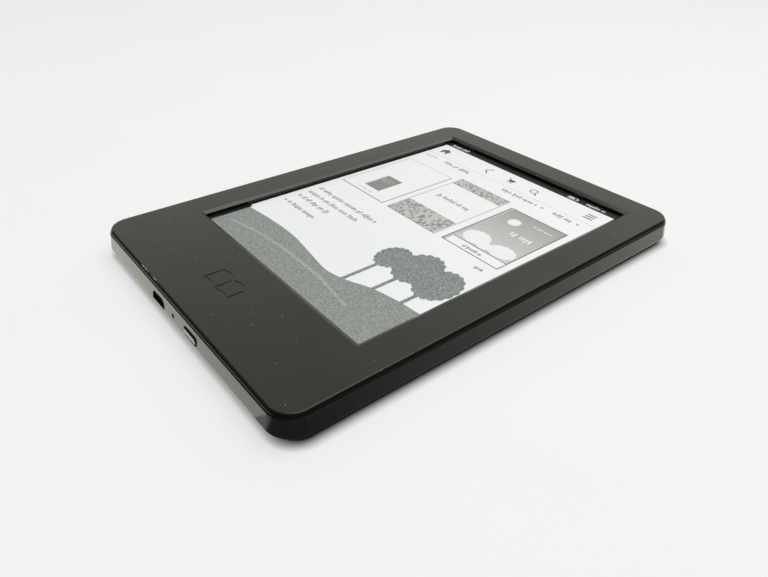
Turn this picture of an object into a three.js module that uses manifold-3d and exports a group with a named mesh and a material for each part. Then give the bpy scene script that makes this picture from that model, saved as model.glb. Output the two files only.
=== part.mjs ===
// A basic 6-inch e-paper reader, as an assembly of separate solids. Millimetres, +Z up.
// It lies on its flat back: X is its width, +Y points to the top of the page and +Z out of the
// screen. The origin is the middle of its outline, on the surface that it rests on.

import * as THREE from "three";
import { mergeVertices } from "three/addons/utils/BufferGeometryUtils.js";
import Module from "manifold-3d";

const wasm = await Module();
wasm.setup();

// ---------------------------------------------------------------- driving dimensions

const WIDTH = 119;
const LENGTH = 169;
const THICKNESS = 10.2;
const CORNER_RADIUS = 8.3;
const SMALLEST_CORNER = 2.4;
const CORNER_STEPS = 10;
const OVERSHOOT = 0.4; // how far a cutting solid runs past the face that it opens
const OVERLAP = 0.1; // how far two solids reach into each other where they are joined
const SEAT_GAP = 0.05; // between a small part and the board that it sits on

// Both shells are stacks of rounded outlines: each entry is [height, distance in from the
// widest outline].
const COVER_RIM_Z = 8.66;
const COVER_OUTSIDE = [[0, 9.8], [0.2, 8.6], [2.7, 0.6], [3.3, 0], [COVER_RIM_Z, 0.82]];
const COVER_INSIDE = [[1.5, 9.6], [4.3, 1.45], [COVER_RIM_Z, 1.95], [COVER_RIM_Z + OVERSHOOT, 1.99]];
const COVER_WALL_REACH = 2.4; // a cut this deep from the outline opens the side wall
const COVER_RIBS = { y: [42, 56, 70], halfLength: 47, width: 0.8, bottomZ: 1.3, topZ: 2.8 };
const BEZEL_OUTSIDE = [[8.86, 1.2], [9.1, 1.0], [9.95, 1.22], [THICKNESS, 1.58]];
const BEZEL_UNDERSIDE_Z = 9.2;
const BEZEL_BOSS_RADIUS = 1.45;
const BOSS_GAP = 0.1; // between the chassis and the bosses above it
const LIP = { bottomZ: 7.1, outerInset: 2.15, innerInset: 3.15 };

// The window in the bezel, and the display seen through it.
const WINDOW = { halfWidth: 45.57, bottomY: -52.0, topY: 71.25, cornerRadius: 0.5 };
const WINDOW_CHAMFER = { width: 1.55, depth: 0.69 };
const DISPLAY_TOP_Z = 8.13;
const PANEL = { halfWidth: 50.9, bottomY: -63.7, topY: 74.7, bottomZ: 6.97, topZ: 7.67 };
const FILM = { halfWidth: 49.9, bottomY: -55.5, topY: 73.9, bottomZ: 7.72 };
const LIGHT_GUIDE = { halfOuter: 51.2, outerY: [-64.2, 74.9], gap: 0.06 };
const DRIVER_CHIP = { y: -58.6, width: 22, length: 1.8, topZ: 8.0 };
const TAPE = { middleX: 47, width: 6, y: [-55, 70], z: [6.75, 6.92] };

// Features of the bottom edge, by their place along X and their height.
const USB = { x: -11.45, z: 5.6 };
const USB_MOUTH = { width: 8.3, height: 2.8, chamferX: 0.75, chamferZ: 0.9 };
const USB_SHELL = {
  width: 7.5, height: 2.45, chamferX: 0.7, chamferZ: 0.85, wall: 0.3, frontY: -83.5, backY: -78.4,
  innerChamferShare: 0.88,
};
const USB_TONGUE = {
  halfWidth: 2.1, frontY: -82.9, z: [5.65, 6.2],
  rootHalfWidth: 2.5, rootY: [-79.9, -78.8], rootZ: [4.75, 6.4],
};
const BUTTON = { x: 10.6, z: 5.4, travel: 0.3 };
const BUTTON_CAP = { x: 10.5, width: 7.5, height: 2.15, frontY: -84.5 };
const BUTTON_FLANGE = { halfWidth: 4.7, y: [-82.55, -82.05], z: [4.35, 6.95] };
const BUTTON_NUB = { width: 1.8, height: 1.0, tipY: -81.1 };
const PLUNGER = { width: 1.7, height: 1.0, y: [-81.0, -79.4] };
const SWITCH_HOUSING = { width: 4.6, y: [-79.9, -76.7], topZ: 6.4, pocketClearance: 0.15 };
const BUTTON_SLOT = { width: 8.4, height: 2.9, z: 5.55 };
const STATUS_LIGHT = { x: -0.95, z: 5.55, holeRadius: 0.6, pipeRadius: 0.45 };
const LIGHT_PIPE = { frontY: -83.3, footY: [-81.4, -80.3], footWidth: 1.6, footZ: [4.5, 6.1] };
const STATUS_LED = { y: -79.4, width: 1.6, length: 0.9, topZ: 5.05 };

// Snap hooks that hold the rear cover on the bezel's lip.
const HOOK_LENGTH = 6;
const HOOK_CLEARANCE = 0.3;
const HOOK = { bottomZ: 7.3, topZ: 7.7, tipInset: 1.72 };
const SIDE_HOOKS_Y = [-55, -15, 25, 60];
const END_HOOKS_X = [-38, 38];

// Inner structure.
const CHASSIS = {
  halfWidth: 56.05, bottomY: -78.6, topY: 80.9, bottomZ: 5.9, topZ: 6.7, cornerRadius: 5, bossRadius: 1.8,
};
const FENCE = { wall: 0.8, room: 0.4, leadRoom: 4, bottomZ: 4.4 };
const SOCKET_NOTCH = { x: [-18, 18], topY: -75.5 };
const DISPLAY_FLEX_SLOT = { x: [-21, 21], y: [-66.3, -63.9] };
const TOUCH_FLEX_SLOT = { x: [33, 43], y: [-73.5, -70] };
const BOARD = { bottomZ: 3.4, topZ: 4.2 };
const BOARD_BACK_Z = BOARD.bottomZ - SEAT_GAP;
const BOARD_FRONT_Z = BOARD.topZ + SEAT_GAP;
const BOARD_OUTLINE = [[-52, -80], [52, -80], [52, 12], [16, 12], [16, -46], [-52, -46]];
const BATTERY = { x0: -42, x1: 5, y0: -40, y1: 35, z0: 2.0, z1: 5.5, cornerRadius: 2 };
const BATTERY_TAPE = { marginX: 4, marginY: 6, gap: 0.06 };
const BATTERY_BOARD = { x: [-33, -7], y: [-43.8, -40.3], z: [2.3, 3.7] };
const BATTERY_LEAD = { x: -20, z: 2.75, radius: 0.45, pitch: 0.85, y: [-46.9, -43.9], sides: 10 };
const BATTERY_PLUG = { x: [-23, -17], y: [-50.1, -47], z: [2.2, 3.3] };
const BATTERY_SOCKET = { x: [-24, -16], y: [-53, -50.2], bottomZ: 2.1 };
const TOUCH = { halfInner: 51.3, halfOuter: 53.3, bottomZ: 6.95, topZ: 7.75 };
const TOUCH_INNER_Y = [-66.4, 75.1];
const TOUCH_OUTER_Y = [-70.8, 77.4];
const OPTIC = { stripWidth: 1.7, stripThickness: 0.15, width: 2.2, depth: 1.4, topZ: 9.05 };
const OPTIC_INSET = 1.0; // from the touch board's inner edge to the middle of a row
const SIDE_ROW = { from: -50, to: 69, count: 14 };
const END_ROW = { from: -44, to: 44, count: 10 };
const FLEX_THICKNESS = 0.12;
const FLEX_BEND = 0.5;
const FLEX_PLUG_Z = 4.95; // height at which a flex enters its connector
const CONNECTOR_TOP_Z = 5.35;
const DISPLAY_CONNECTOR = { x: [-20.5, 20.5], y: [-62, -57.6] };
const TOUCH_CONNECTOR = { x: [33.4, 42.6], y: [-77.4, -73.5] };
const DISPLAY_FLEX = { width: 38, startY: -61.6, startZ: 7.8, fallY: -64.9, endY: -62.1 };
const TOUCH_FLEX = { x: 38, width: 8, startY: -67.5, startZ: 6.82, fallY: -71.4, endY: -73.4 };

// Parts on the back of the main board, towards the rear cover.
const BACK_PARTS = {
  processor: { x: 32, y: -34, width: 14, length: 14, thickness: 1.0 },
  memory_chip: { x: 32, y: -18.5, width: 10, length: 11.5, thickness: 0.9 },
  storage_chip: { x: 2, y: -62, width: 11.5, length: 13, thickness: 0.9 },
  power_chip: { x: -31, y: -62, width: 7, length: 7, thickness: 0.8 },
  display_power_chip: { x: -13, y: -65, width: 6, length: 6, thickness: 0.8 },
  wifi_module: { x: 33, y: 1.5, width: 12, length: 14.5, thickness: 1.2 },
  crystal: { x: 18, y: -62, width: 3.2, length: 2.5, thickness: 0.7 },
};
const INDUCTORS = [{ x: -40, y: -63, radius: 2.2 }, { x: -22, y: -58, radius: 1.8 }];
const INDUCTOR_HEIGHT = 1.05;
const SHIELD = { x: [22, 42], y: [-43.5, -10.5], height: 1.35, wall: 0.2 };

const ANTENNA = { x: [20, 50], y: [70.5, 73.5], legX: [20, 28], legWidth: 3, legY: 65.2, z: [5.62, 5.82] };
const CABLE_RADIUS = 0.5;
const CABLE_ROUTE = [
  [24, 64.5, 5.0], [23.5, 50, 4.9], [25, 32, 4.7], [28, 19, 3.4], [30, 13, 2.7], [31, 9.4, 2.65],
];

const BOARD_SCREWS = [[-48, -74.5], [48, -74.5], [-48, -51], [48, -51], [20, 8], [48, 8]];
const FRAME_SCREWS = [
  [-30, -76.6], [30, -76.6], [-54.95, -35], [54.95, -35],
  [-54.95, 45], [54.95, 45], [-35, 79], [35, 79],
];
const BOARD_SCREW = { headZ: 2.65, headRadius: 1.3, shankRadius: 0.7, tipZ: 5.9 };
const FRAME_SCREW = { headZ: 5.25, headRadius: 1.15, shankRadius: 0.6, tipZ: 8.6 };
const SCREW_SIDES = 16;
const SCREW_BORE = { clearance: 0.1, tipRoom: 0.2 };
const SCREW_HOLE_CLEARANCE = { chassis: 0.2, board: 0.25 };
const SCREW_RECESS = { radiusShare: 0.45, depth: 0.35, sides: 6 };

// ---------------------------------------------------------------- materials

const finish = (color, roughness, metalness = 0) =>
  new THREE.MeshStandardMaterial({ color, roughness, metalness });

const BEZEL_PLASTIC = () => finish(0x3d3c39, 0.5);
const COVER_PLASTIC = () => finish(0x141414, 0.28);
const DARK_OPTIC = () => finish(0x0b0a0c, 0.15);
const PAPER_FILM = () => finish(0xd9dbda, 0.6);
const PANEL_GLASS = () => finish(0x9fa8a6, 0.1);
const CHASSIS_METAL = () => finish(0x8d9092, 0.45, 0.8);
const CIRCUIT_BOARD = () => finish(0x1c4a33, 0.45);
const CHIP_PLASTIC = () => finish(0x17181a, 0.5);
const CONNECTOR_PLASTIC = () => finish(0xd8cfb8, 0.5);
const FLEX_FILM = () => finish(0xb0702a, 0.4);
const PLATED_METAL = () => finish(0xb9bcbe, 0.3, 1);
const SCREW_STEEL = () => finish(0x6f7275, 0.35, 1);
const POUCH_FOIL = () => finish(0xa4a7aa, 0.4, 0.7);
const ADHESIVE = () => finish(0x202020, 0.9);
const CABLE_JACKET = () => finish(0x1a1a1a, 0.5);
const CLEAR_OPTIC = () => finish(0xe4e8ea, 0.1);

// ---------------------------------------------------------------- solids

const reader = new THREE.Group();
reader.name = "e_reader";

// Adds one named piece to the reader.
function add(name, geometry, material) {
  const mesh = new THREE.Mesh(geometry, material());
  mesh.name = name;
  reader.add(mesh);
}

// A closed geometry as a solid that can be cut and joined.
function solidOf(geometry) {
  const bare = new THREE.BufferGeometry();
  bare.setAttribute("position", geometry.getAttribute("position"));
  bare.setIndex(geometry.index);
  const merged = mergeVertices(bare, 1e-4);
  return new wasm.Manifold(new wasm.Mesh({
    numProp: 3,
    vertProperties: merged.getAttribute("position").array,
    triVerts: new Uint32Array(merged.index.array),
  }));
}

// A solid's faces as a geometry.
function geometryOf(solid) {
  const mesh = solid.getMesh();
  const geometry = new THREE.BufferGeometry();
  geometry.setAttribute("position", new THREE.BufferAttribute(mesh.vertProperties, 3));
  geometry.setIndex(new THREE.BufferAttribute(mesh.triVerts, 1));
  geometry.computeVertexNormals();
  return geometry;
}

// One geometry out of some that are joined and some that are then cut away.
function build(joined, cut = []) {
  let solid = solidOf(joined[0]);
  for (const geometry of joined.slice(1)) {
    solid = solid.add(solidOf(geometry));
  }
  for (const geometry of cut) {
    solid = solid.subtract(solidOf(geometry));
  }
  return geometryOf(solid);
}

// A box between two values on each axis.
function box(x0, x1, y0, y1, z0, z1) {
  const geometry = new THREE.BoxGeometry(x1 - x0, y1 - y0, z1 - z0);
  return geometry.translate((x0 + x1) / 2, (y0 + y1) / 2, (z0 + z1) / 2);
}

// A box given by its middle, its size across and along, and its height range.
function block(x, y, width, length, z0, z1) {
  return box(x - width / 2, x + width / 2, y - length / 2, y + length / 2, z0, z1);
}

// The outline between two values on X and on Y, with rounded corners.
function roundedOutline(x0, x1, y0, y1, radius) {
  const shape = new THREE.Shape();
  shape.moveTo(x0 + radius, y0);
  shape.lineTo(x1 - radius, y0);
  shape.absarc(x1 - radius, y0 + radius, radius, -Math.PI / 2, 0);
  shape.absarc(x1 - radius, y1 - radius, radius, 0, Math.PI / 2);
  shape.absarc(x0 + radius, y1 - radius, radius, Math.PI / 2, Math.PI);
  shape.absarc(x0 + radius, y0 + radius, radius, Math.PI, Math.PI * 1.5);
  return shape;
}

// An outline in the X-Y plane, raised from z0 to z1.
function slab(shape, z0, z1, curveSegments = 4) {
  const options = { depth: z1 - z0, bevelEnabled: false, curveSegments };
  return new THREE.ExtrudeGeometry(shape, options).translate(0, 0, z0);
}

// An outline whose own axes are X and Z, run along Y from y0 to y1.
function alongY(shape, y0, y1, curveSegments = 8) {
  const options = { depth: y1 - y0, bevelEnabled: false, curveSegments };
  return new THREE.ExtrudeGeometry(shape, options).rotateX(Math.PI / 2).translate(0, y1, 0);
}

// An outline whose own axes are Y and Z, run along X from x0 to x1.
function alongX(shape, x0, x1) {
  const options = { depth: x1 - x0, bevelEnabled: false };
  const turn = new THREE.Matrix4().makeBasis(
    new THREE.Vector3(0, 1, 0),
    new THREE.Vector3(0, 0, 1),
    new THREE.Vector3(1, 0, 0),
  );
  return new THREE.ExtrudeGeometry(shape, options).applyMatrix4(turn).translate(x0, 0, 0);
}

// An upright round post.
function post(x, y, radius, z0, z1, sides = SCREW_SIDES) {
  const geometry = new THREE.CylinderGeometry(radius, radius, z1 - z0, sides);
  return geometry.rotateX(Math.PI / 2).translate(x, y, (z0 + z1) / 2);
}

// The bore that a screw's shank is driven into, from a given height.
function screwBore(x, y, size, z0) {
  return post(x, y, size.shankRadius + SCREW_BORE.clearance, z0, size.tipZ + SCREW_BORE.tipRoom);
}

// A round rod that lies along Y.
function rod(x, z, radius, y0, y1, sides = SCREW_SIDES) {
  const geometry = new THREE.CylinderGeometry(radius, radius, y1 - y0, sides);
  return geometry.translate(x, (y0 + y1) / 2, z);
}

// The points of one rounded rectangle, anticlockwise from above.
function ring(ends, radius, z, steps) {
  const [x0, x1, y0, y1] = ends;
  const corners = [
    [x1 - radius, y1 - radius],
    [x0 + radius, y1 - radius],
    [x0 + radius, y0 + radius],
    [x1 - radius, y0 + radius],
  ];
  return corners.flatMap(([x, y], corner) =>
    Array.from({ length: steps + 1 }, (_, step) => {
      const angle = (corner + step / steps) * (Math.PI / 2);
      return [x + radius * Math.cos(angle), y + radius * Math.sin(angle), z];
    }),
  );
}

// A closed body through a stack of rings that all have the same number of points.
function loft(rings) {
  const count = rings[0].length;
  const last = (rings.length - 1) * count;
  const triangles = [];
  for (let level = 0; level < rings.length - 1; level += 1) {
    for (let i = 0; i < count; i += 1) {
      const low = level * count + i;
      const lowNext = level * count + ((i + 1) % count);
      triangles.push(low, lowNext, lowNext + count, low, lowNext + count, low + count);
    }
  }
  for (let i = 1; i < count - 1; i += 1) {
    triangles.push(0, i + 1, i, last, last + i, last + i + 1);
  }
  const geometry = new THREE.BufferGeometry();
  geometry.setAttribute("position", new THREE.Float32BufferAttribute(rings.flat(2), 3));
  geometry.setIndex(triangles);
  return geometry;
}

// A body through the reader's own outline, drawn in by each level's distance.
function shell(levels) {
  return loft(levels.map(([z, inset]) => {
    const halfWidth = WIDTH / 2 - inset;
    const halfLength = LENGTH / 2 - inset;
    const radius = Math.max(CORNER_RADIUS - inset, SMALLEST_CORNER);
    return ring([-halfWidth, halfWidth, -halfLength, halfLength], radius, z, CORNER_STEPS);
  }));
}

// ---------------------------------------------------------------- shells

// One block for each snap hook, from a given inset inwards.
function hooks(tipInset, rootInset, bottomZ, topZ, length) {
  const half = length / 2;
  const tipX = WIDTH / 2 - tipInset;
  const rootX = WIDTH / 2 - rootInset;
  const tipY = LENGTH / 2 - tipInset;
  const rootY = LENGTH / 2 - rootInset;
  const sides = SIDE_HOOKS_Y.flatMap((y) => [
    box(rootX, tipX, y - half, y + half, bottomZ, topZ),
    box(-tipX, -rootX, y - half, y + half, bottomZ, topZ),
  ]);
  const ends = END_HOOKS_X.flatMap((x) => [
    box(x - half, x + half, rootY, tipY, bottomZ, topZ),
    box(x - half, x + half, -tipY, -rootY, bottomZ, topZ),
  ]);
  return [...sides, ...ends];
}

// The outline of the USB socket: a wide foot whose upper corners are cut off.
function usbOutline(width, height, chamferX, chamferZ) {
  const left = USB.x - width / 2;
  const right = USB.x + width / 2;
  const bottom = USB.z - height / 2;
  const top = USB.z + height / 2;
  const shape = new THREE.Shape();
  shape.moveTo(left, bottom);
  shape.lineTo(right, bottom);
  shape.lineTo(right, top - chamferZ);
  shape.lineTo(right - chamferX, top);
  shape.lineTo(left + chamferX, top);
  shape.lineTo(left, top - chamferZ);
  return shape;
}

// An oblong with round ends, in the bottom edge.
function oblong(x, z, width, height) {
  return roundedOutline(x - width / 2, x + width / 2, z - height / 2, z + height / 2, height / 2.01);
}

function rearCover() {
  const outerY = -LENGTH / 2 - OVERSHOOT;
  const innerY = -LENGTH / 2 + COVER_WALL_REACH;
  const mouth = usbOutline(
    USB_MOUTH.width, USB_MOUTH.height, USB_MOUTH.chamferX, USB_MOUTH.chamferZ,
  );
  const slot = oblong(BUTTON.x, BUTTON_SLOT.z, BUTTON_SLOT.width, BUTTON_SLOT.height);
  const recesses = hooks(
    HOOK.tipInset - HOOK_CLEARANCE / 2, LIP.outerInset, HOOK.bottomZ - HOOK_CLEARANCE / 2,
    HOOK.topZ + HOOK_CLEARANCE / 2, HOOK_LENGTH + HOOK_CLEARANCE * 2,
  );
  const ribs = COVER_RIBS.y.map((y) =>
    block(0, y, COVER_RIBS.halfLength * 2, COVER_RIBS.width, COVER_RIBS.bottomZ, COVER_RIBS.topZ));
  const tray = build(
    [shell(COVER_OUTSIDE)],
    [
      shell(COVER_INSIDE),
      ...recesses,
      alongY(mouth, outerY, innerY),
      alongY(slot, outerY, innerY),
      rod(STATUS_LIGHT.x, STATUS_LIGHT.z, STATUS_LIGHT.holeRadius, outerY, innerY),
    ],
  );
  return build([tray, ...ribs]);
}

// The window's opening through the bezel: straight below, then widening to the front face.
function windowCut() {
  const slope = WINDOW_CHAMFER.width / WINDOW_CHAMFER.depth;
  const levels = [
    [BEZEL_UNDERSIDE_Z - OVERSHOOT, 0],
    [THICKNESS - WINDOW_CHAMFER.depth, 0],
    [THICKNESS + OVERSHOOT, WINDOW_CHAMFER.width + OVERSHOOT * slope],
  ];
  return loft(levels.map(([z, grow]) => {
    const halfWidth = WINDOW.halfWidth + grow;
    const ends = [-halfWidth, halfWidth, WINDOW.bottomY - grow, WINDOW.topY + grow];
    return ring(ends, WINDOW.cornerRadius + grow / 4, z, 3);
  }));
}

function frontBezel() {
  const inner = LIP.innerInset;
  const bosses = FRAME_SCREWS.map(([x, y]) =>
    post(x, y, BEZEL_BOSS_RADIUS, CHASSIS.topZ + BOSS_GAP, BEZEL_UNDERSIDE_Z + OVERSHOOT));
  const bores = FRAME_SCREWS.map(([x, y]) =>
    screwBore(x, y, FRAME_SCREW, CHASSIS.topZ));
  const lipHooks = hooks(
    HOOK.tipInset, LIP.outerInset + 0.2, HOOK.bottomZ, HOOK.topZ, HOOK_LENGTH,
  );
  const frame = build(
    [
      shell(BEZEL_OUTSIDE),
      shell([[LIP.bottomZ, LIP.outerInset], [BEZEL_UNDERSIDE_Z, LIP.outerInset]]),
      ...lipHooks,
    ],
    [shell([[LIP.bottomZ - OVERSHOOT, inner], [BEZEL_UNDERSIDE_Z, inner]]), windowCut()],
  );
  return build([frame, ...bosses], bores);
}

// ---------------------------------------------------------------- display and touch frame

// A flat rectangular frame between an inner and an outer outline.
function flatFrame(halfInner, innerY, halfOuter, outerY, z0, z1) {
  const outside = box(-halfOuter, halfOuter, outerY[0], outerY[1], z0, z1);
  const inside = box(
    -halfInner, halfInner, innerY[0], innerY[1], z0 - OVERSHOOT, z1 + OVERSHOOT,
  );
  return build([outside], [inside]);
}

function lightGuide() {
  return flatFrame(
    WINDOW.halfWidth, [WINDOW.bottomY, WINDOW.topY], LIGHT_GUIDE.halfOuter, LIGHT_GUIDE.outerY,
    DISPLAY_TOP_Z + LIGHT_GUIDE.gap, BEZEL_UNDERSIDE_Z - LIGHT_GUIDE.gap,
  );
}

// A row of identical optical parts on one carrier strip. It lies along Y at x = across, or, when
// turned, along X at y = across.
function opticRow(row, across, turned) {
  const stripZ = TOUCH.topZ + SEAT_GAP;
  const piece = (along, length, width, bottomZ, topZ) => (turned
    ? block(along, across, length, width, bottomZ, topZ)
    : block(across, along, width, length, bottomZ, topZ));
  const middle = (row.from + row.to) / 2;
  const pitch = (row.to - row.from) / row.count;
  const strip = piece(
    middle, row.to - row.from, OPTIC.stripWidth, stripZ, stripZ + OPTIC.stripThickness,
  );
  const parts = Array.from({ length: row.count }, (_, i) =>
    piece(row.from + (i + 0.5) * pitch, OPTIC.width, OPTIC.depth, stripZ + SEAT_GAP, OPTIC.topZ));
  return build([strip, ...parts]);
}

// A flat flex: a path in the Y-Z plane, given a thickness and run along X.
function flex(path, x, width) {
  const points = path.getPoints(5).filter((point, i, all) => i === 0 || !point.equals(all[i - 1]));
  const side = (offset) => points.map((point, i) => {
    const before = points[Math.max(i - 1, 0)];
    const after = points[Math.min(i + 1, points.length - 1)];
    const direction = after.clone().sub(before).normalize();
    return new THREE.Vector2(point.x - direction.y * offset, point.y + direction.x * offset);
  });
  const half = FLEX_THICKNESS / 2;
  const outline = new THREE.Shape([...side(half), ...side(-half).reverse()]);
  return alongX(outline, x - width / 2, x + width / 2);
}

// From the panel's bottom ledge, round its edge and down to the board.
function displayFlex() {
  const { width, startY, startZ, fallY, endY } = DISPLAY_FLEX;
  const bendY = fallY + FLEX_BEND;
  const path = new THREE.Path();
  path.moveTo(startY, startZ);
  path.lineTo(bendY, startZ);
  path.absarc(bendY, startZ - FLEX_BEND, FLEX_BEND, Math.PI / 2, Math.PI);
  path.lineTo(fallY, FLEX_PLUG_Z + FLEX_BEND);
  path.absarc(bendY, FLEX_PLUG_Z + FLEX_BEND, FLEX_BEND, Math.PI, Math.PI * 1.5);
  path.lineTo(endY, FLEX_PLUG_Z);
  return flex(path, 0, width);
}

// From under the touch board, over the chassis edge and down to the main board.
function touchFlex() {
  const { x, width, startY, startZ, fallY, endY } = TOUCH_FLEX;
  const path = new THREE.Path();
  path.moveTo(startY, startZ);
  path.lineTo(fallY + FLEX_BEND, startZ);
  path.absarc(fallY + FLEX_BEND, startZ - FLEX_BEND, FLEX_BEND, Math.PI / 2, Math.PI);
  path.lineTo(fallY, FLEX_PLUG_Z + FLEX_BEND);
  path.absarc(fallY - FLEX_BEND, FLEX_PLUG_Z + FLEX_BEND, FLEX_BEND, 0, -Math.PI / 2, true);
  path.lineTo(endY, FLEX_PLUG_Z);
  return flex(path, x, width);
}

// ---------------------------------------------------------------- chassis, board and battery

// The plate, with a fence round the battery and a boss for each board screw.
function chassis() {
  const { halfWidth, bottomY, topY, bottomZ, topZ, cornerRadius, bossRadius } = CHASSIS;
  const plate = slab(
    roundedOutline(-halfWidth, halfWidth, bottomY, topY, cornerRadius), bottomZ, topZ,
  );
  const below = bottomZ - OVERSHOOT;
  const above = topZ + OVERSHOOT;
  const { wall, room, leadRoom } = FENCE;
  const inside = [
    BATTERY.x0 - room, BATTERY.x1 + room, BATTERY.y0 - room - leadRoom, BATTERY.y1 + room,
  ];
  const fence = box(
    inside[0] - wall, inside[1] + wall, inside[2] - wall, inside[3] + wall,
    FENCE.bottomZ, bottomZ + OVERLAP,
  );
  const bosses = BOARD_SCREWS.map(([x, y]) =>
    post(x, y, bossRadius, BOARD_FRONT_Z, bottomZ + OVERLAP));
  const bores = BOARD_SCREWS.map(([x, y]) =>
    screwBore(x, y, BOARD_SCREW, BOARD.topZ));
  const holes = FRAME_SCREWS.map(([x, y]) =>
    post(x, y, FRAME_SCREW.shankRadius + SCREW_HOLE_CLEARANCE.chassis, below, above));
  const socketNotch = box(
    ...SOCKET_NOTCH.x, bottomY - OVERSHOOT, SOCKET_NOTCH.topY, below, above,
  );
  const flexSlots = [DISPLAY_FLEX_SLOT, TOUCH_FLEX_SLOT].map(({ x, y }) =>
    box(...x, ...y, below, above));
  return build(
    [plate, fence, ...bosses],
    [box(...inside, BOARD.bottomZ, bottomZ), ...bores, ...holes, socketNotch, ...flexSlots],
  );
}

function mainBoard() {
  const outline = new THREE.Shape(BOARD_OUTLINE.map(([x, y]) => new THREE.Vector2(x, y)));
  const radius = BOARD_SCREW.shankRadius + SCREW_HOLE_CLEARANCE.board;
  const holes = BOARD_SCREWS.map(([x, y]) =>
    post(x, y, radius, BOARD.bottomZ - OVERSHOOT, BOARD.topZ + OVERSHOOT));
  return build([slab(outline, BOARD.bottomZ, BOARD.topZ)], holes);
}

// A pressed metal can, open towards the board.
function shieldCan() {
  const { x, y, height, wall } = SHIELD;
  const bottomZ = BOARD_BACK_Z - height;
  return build(
    [box(...x, ...y, bottomZ, BOARD_BACK_Z)],
    [box(x[0] + wall, x[1] - wall, y[0] + wall, y[1] - wall, bottomZ + wall, BOARD.topZ)],
  );
}

function batteryCell() {
  const { x0, x1, y0, y1, z0, z1, cornerRadius } = BATTERY;
  return slab(roundedOutline(x0, x1, y0, y1, cornerRadius), z0, z1);
}

// Three insulated wires side by side, joined along their jackets.
function batteryLead() {
  const { x, z, radius, pitch, y, sides } = BATTERY_LEAD;
  return build([-1, 0, 1].map((wire) => rod(x + wire * pitch, z, radius, ...y, sides)));
}

// The coaxial lead from the antenna, down past the board's end to its back.
function antennaCable() {
  const route = new THREE.CatmullRomCurve3(CABLE_ROUTE.map((p) => new THREE.Vector3(...p)));
  const section = new THREE.Shape();
  section.absarc(0, 0, CABLE_RADIUS, 0, Math.PI * 2);
  const options = { steps: 26, bevelEnabled: false, curveSegments: 4, extrudePath: route };
  return new THREE.ExtrudeGeometry(section, options);
}

// A printed antenna: a feed strip with two legs.
function antenna() {
  const strip = box(...ANTENNA.x, ...ANTENNA.y, ...ANTENNA.z);
  const legs = ANTENNA.legX.map((x) =>
    box(x, x + ANTENNA.legWidth, ANTENNA.legY, ANTENNA.y[0] + OVERLAP, ...ANTENNA.z));
  return build([strip, ...legs]);
}

// ---------------------------------------------------------------- bottom edge

// The metal shell, open at the front and closed behind.
function usbShell() {
  const { width, height, chamferX, chamferZ, wall, frontY, backY, innerChamferShare } = USB_SHELL;
  const outside = usbOutline(width, height, chamferX, chamferZ);
  const inside = usbOutline(
    width - wall * 2, height - wall * 2, chamferX * innerChamferShare, chamferZ * innerChamferShare,
  );
  return build(
    [alongY(outside, frontY, backY)],
    [alongY(inside, frontY - OVERSHOOT, backY - wall)],
  );
}

function usbTongue() {
  const { halfWidth, frontY, z, rootHalfWidth, rootY, rootZ } = USB_TONGUE;
  return build([
    box(USB.x - rootHalfWidth, USB.x + rootHalfWidth, ...rootY, ...rootZ),
    box(USB.x - halfWidth, USB.x + halfWidth, frontY, rootY[0] + OVERSHOOT, ...z),
  ]);
}

// The cap, the flange that keeps it in, and the nub that meets the switch.
function powerButton() {
  const capOutline = oblong(BUTTON_CAP.x, BUTTON.z, BUTTON_CAP.width, BUTTON_CAP.height);
  const { halfWidth, y, z } = BUTTON_FLANGE;
  const halfNub = BUTTON_NUB.width / 2;
  return build([
    alongY(capOutline, BUTTON_CAP.frontY, (y[0] + y[1]) / 2),
    box(BUTTON.x - halfWidth, BUTTON.x + halfWidth, ...y, ...z),
    box(
      BUTTON.x - halfNub, BUTTON.x + halfNub, (y[0] + y[1]) / 2, BUTTON_NUB.tipY,
      BUTTON.z - BUTTON_NUB.height / 2, BUTTON.z + BUTTON_NUB.height / 2,
    ),
  ]);
}

function switchPlunger() {
  const halfWidth = PLUNGER.width / 2;
  const halfHeight = PLUNGER.height / 2;
  return box(
    BUTTON.x - halfWidth, BUTTON.x + halfWidth, ...PLUNGER.y,
    BUTTON.z - halfHeight, BUTTON.z + halfHeight,
  );
}

// The switch's housing, with the pocket that its plunger is pushed into.
function switchHousing() {
  const { width, y, topZ, pocketClearance } = SWITCH_HOUSING;
  const halfPocket = PLUNGER.width / 2 + pocketClearance;
  const pocketZ = PLUNGER.height / 2 + pocketClearance;
  return build(
    [box(BUTTON.x - width / 2, BUTTON.x + width / 2, ...y, BOARD_FRONT_Z, topZ)],
    [box(
      BUTTON.x - halfPocket, BUTTON.x + halfPocket,
      y[0] - OVERSHOOT, PLUNGER.y[1] + BUTTON.travel + pocketClearance,
      BUTTON.z - pocketZ, BUTTON.z + pocketZ,
    )],
  );
}

function lightPipe() {
  const { x, z, pipeRadius } = STATUS_LIGHT;
  const { frontY, footY, footWidth, footZ } = LIGHT_PIPE;
  const foot = box(x - footWidth / 2, x + footWidth / 2, ...footY, ...footZ);
  return build([rod(x, z, pipeRadius, frontY, footY[0] + OVERLAP), foot]);
}

// ---------------------------------------------------------------- fasteners

// A small screw driven upwards, with a six-sided recess in its head.
function screw(x, y, size, headTopZ) {
  const head = post(x, y, size.headRadius, size.headZ, headTopZ);
  const shank = post(x, y, size.shankRadius, headTopZ - OVERLAP, size.tipZ);
  const { radiusShare, depth, sides } = SCREW_RECESS;
  const recess = post(
    x, y, size.headRadius * radiusShare, size.headZ - OVERSHOOT, size.headZ + depth, sides,
  );
  return build([head, shank], [recess]);
}

// ---------------------------------------------------------------- assembly

add("rear_cover", rearCover(), COVER_PLASTIC);
add("front_bezel", frontBezel(), BEZEL_PLASTIC);
add("chassis", chassis(), CHASSIS_METAL);

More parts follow.
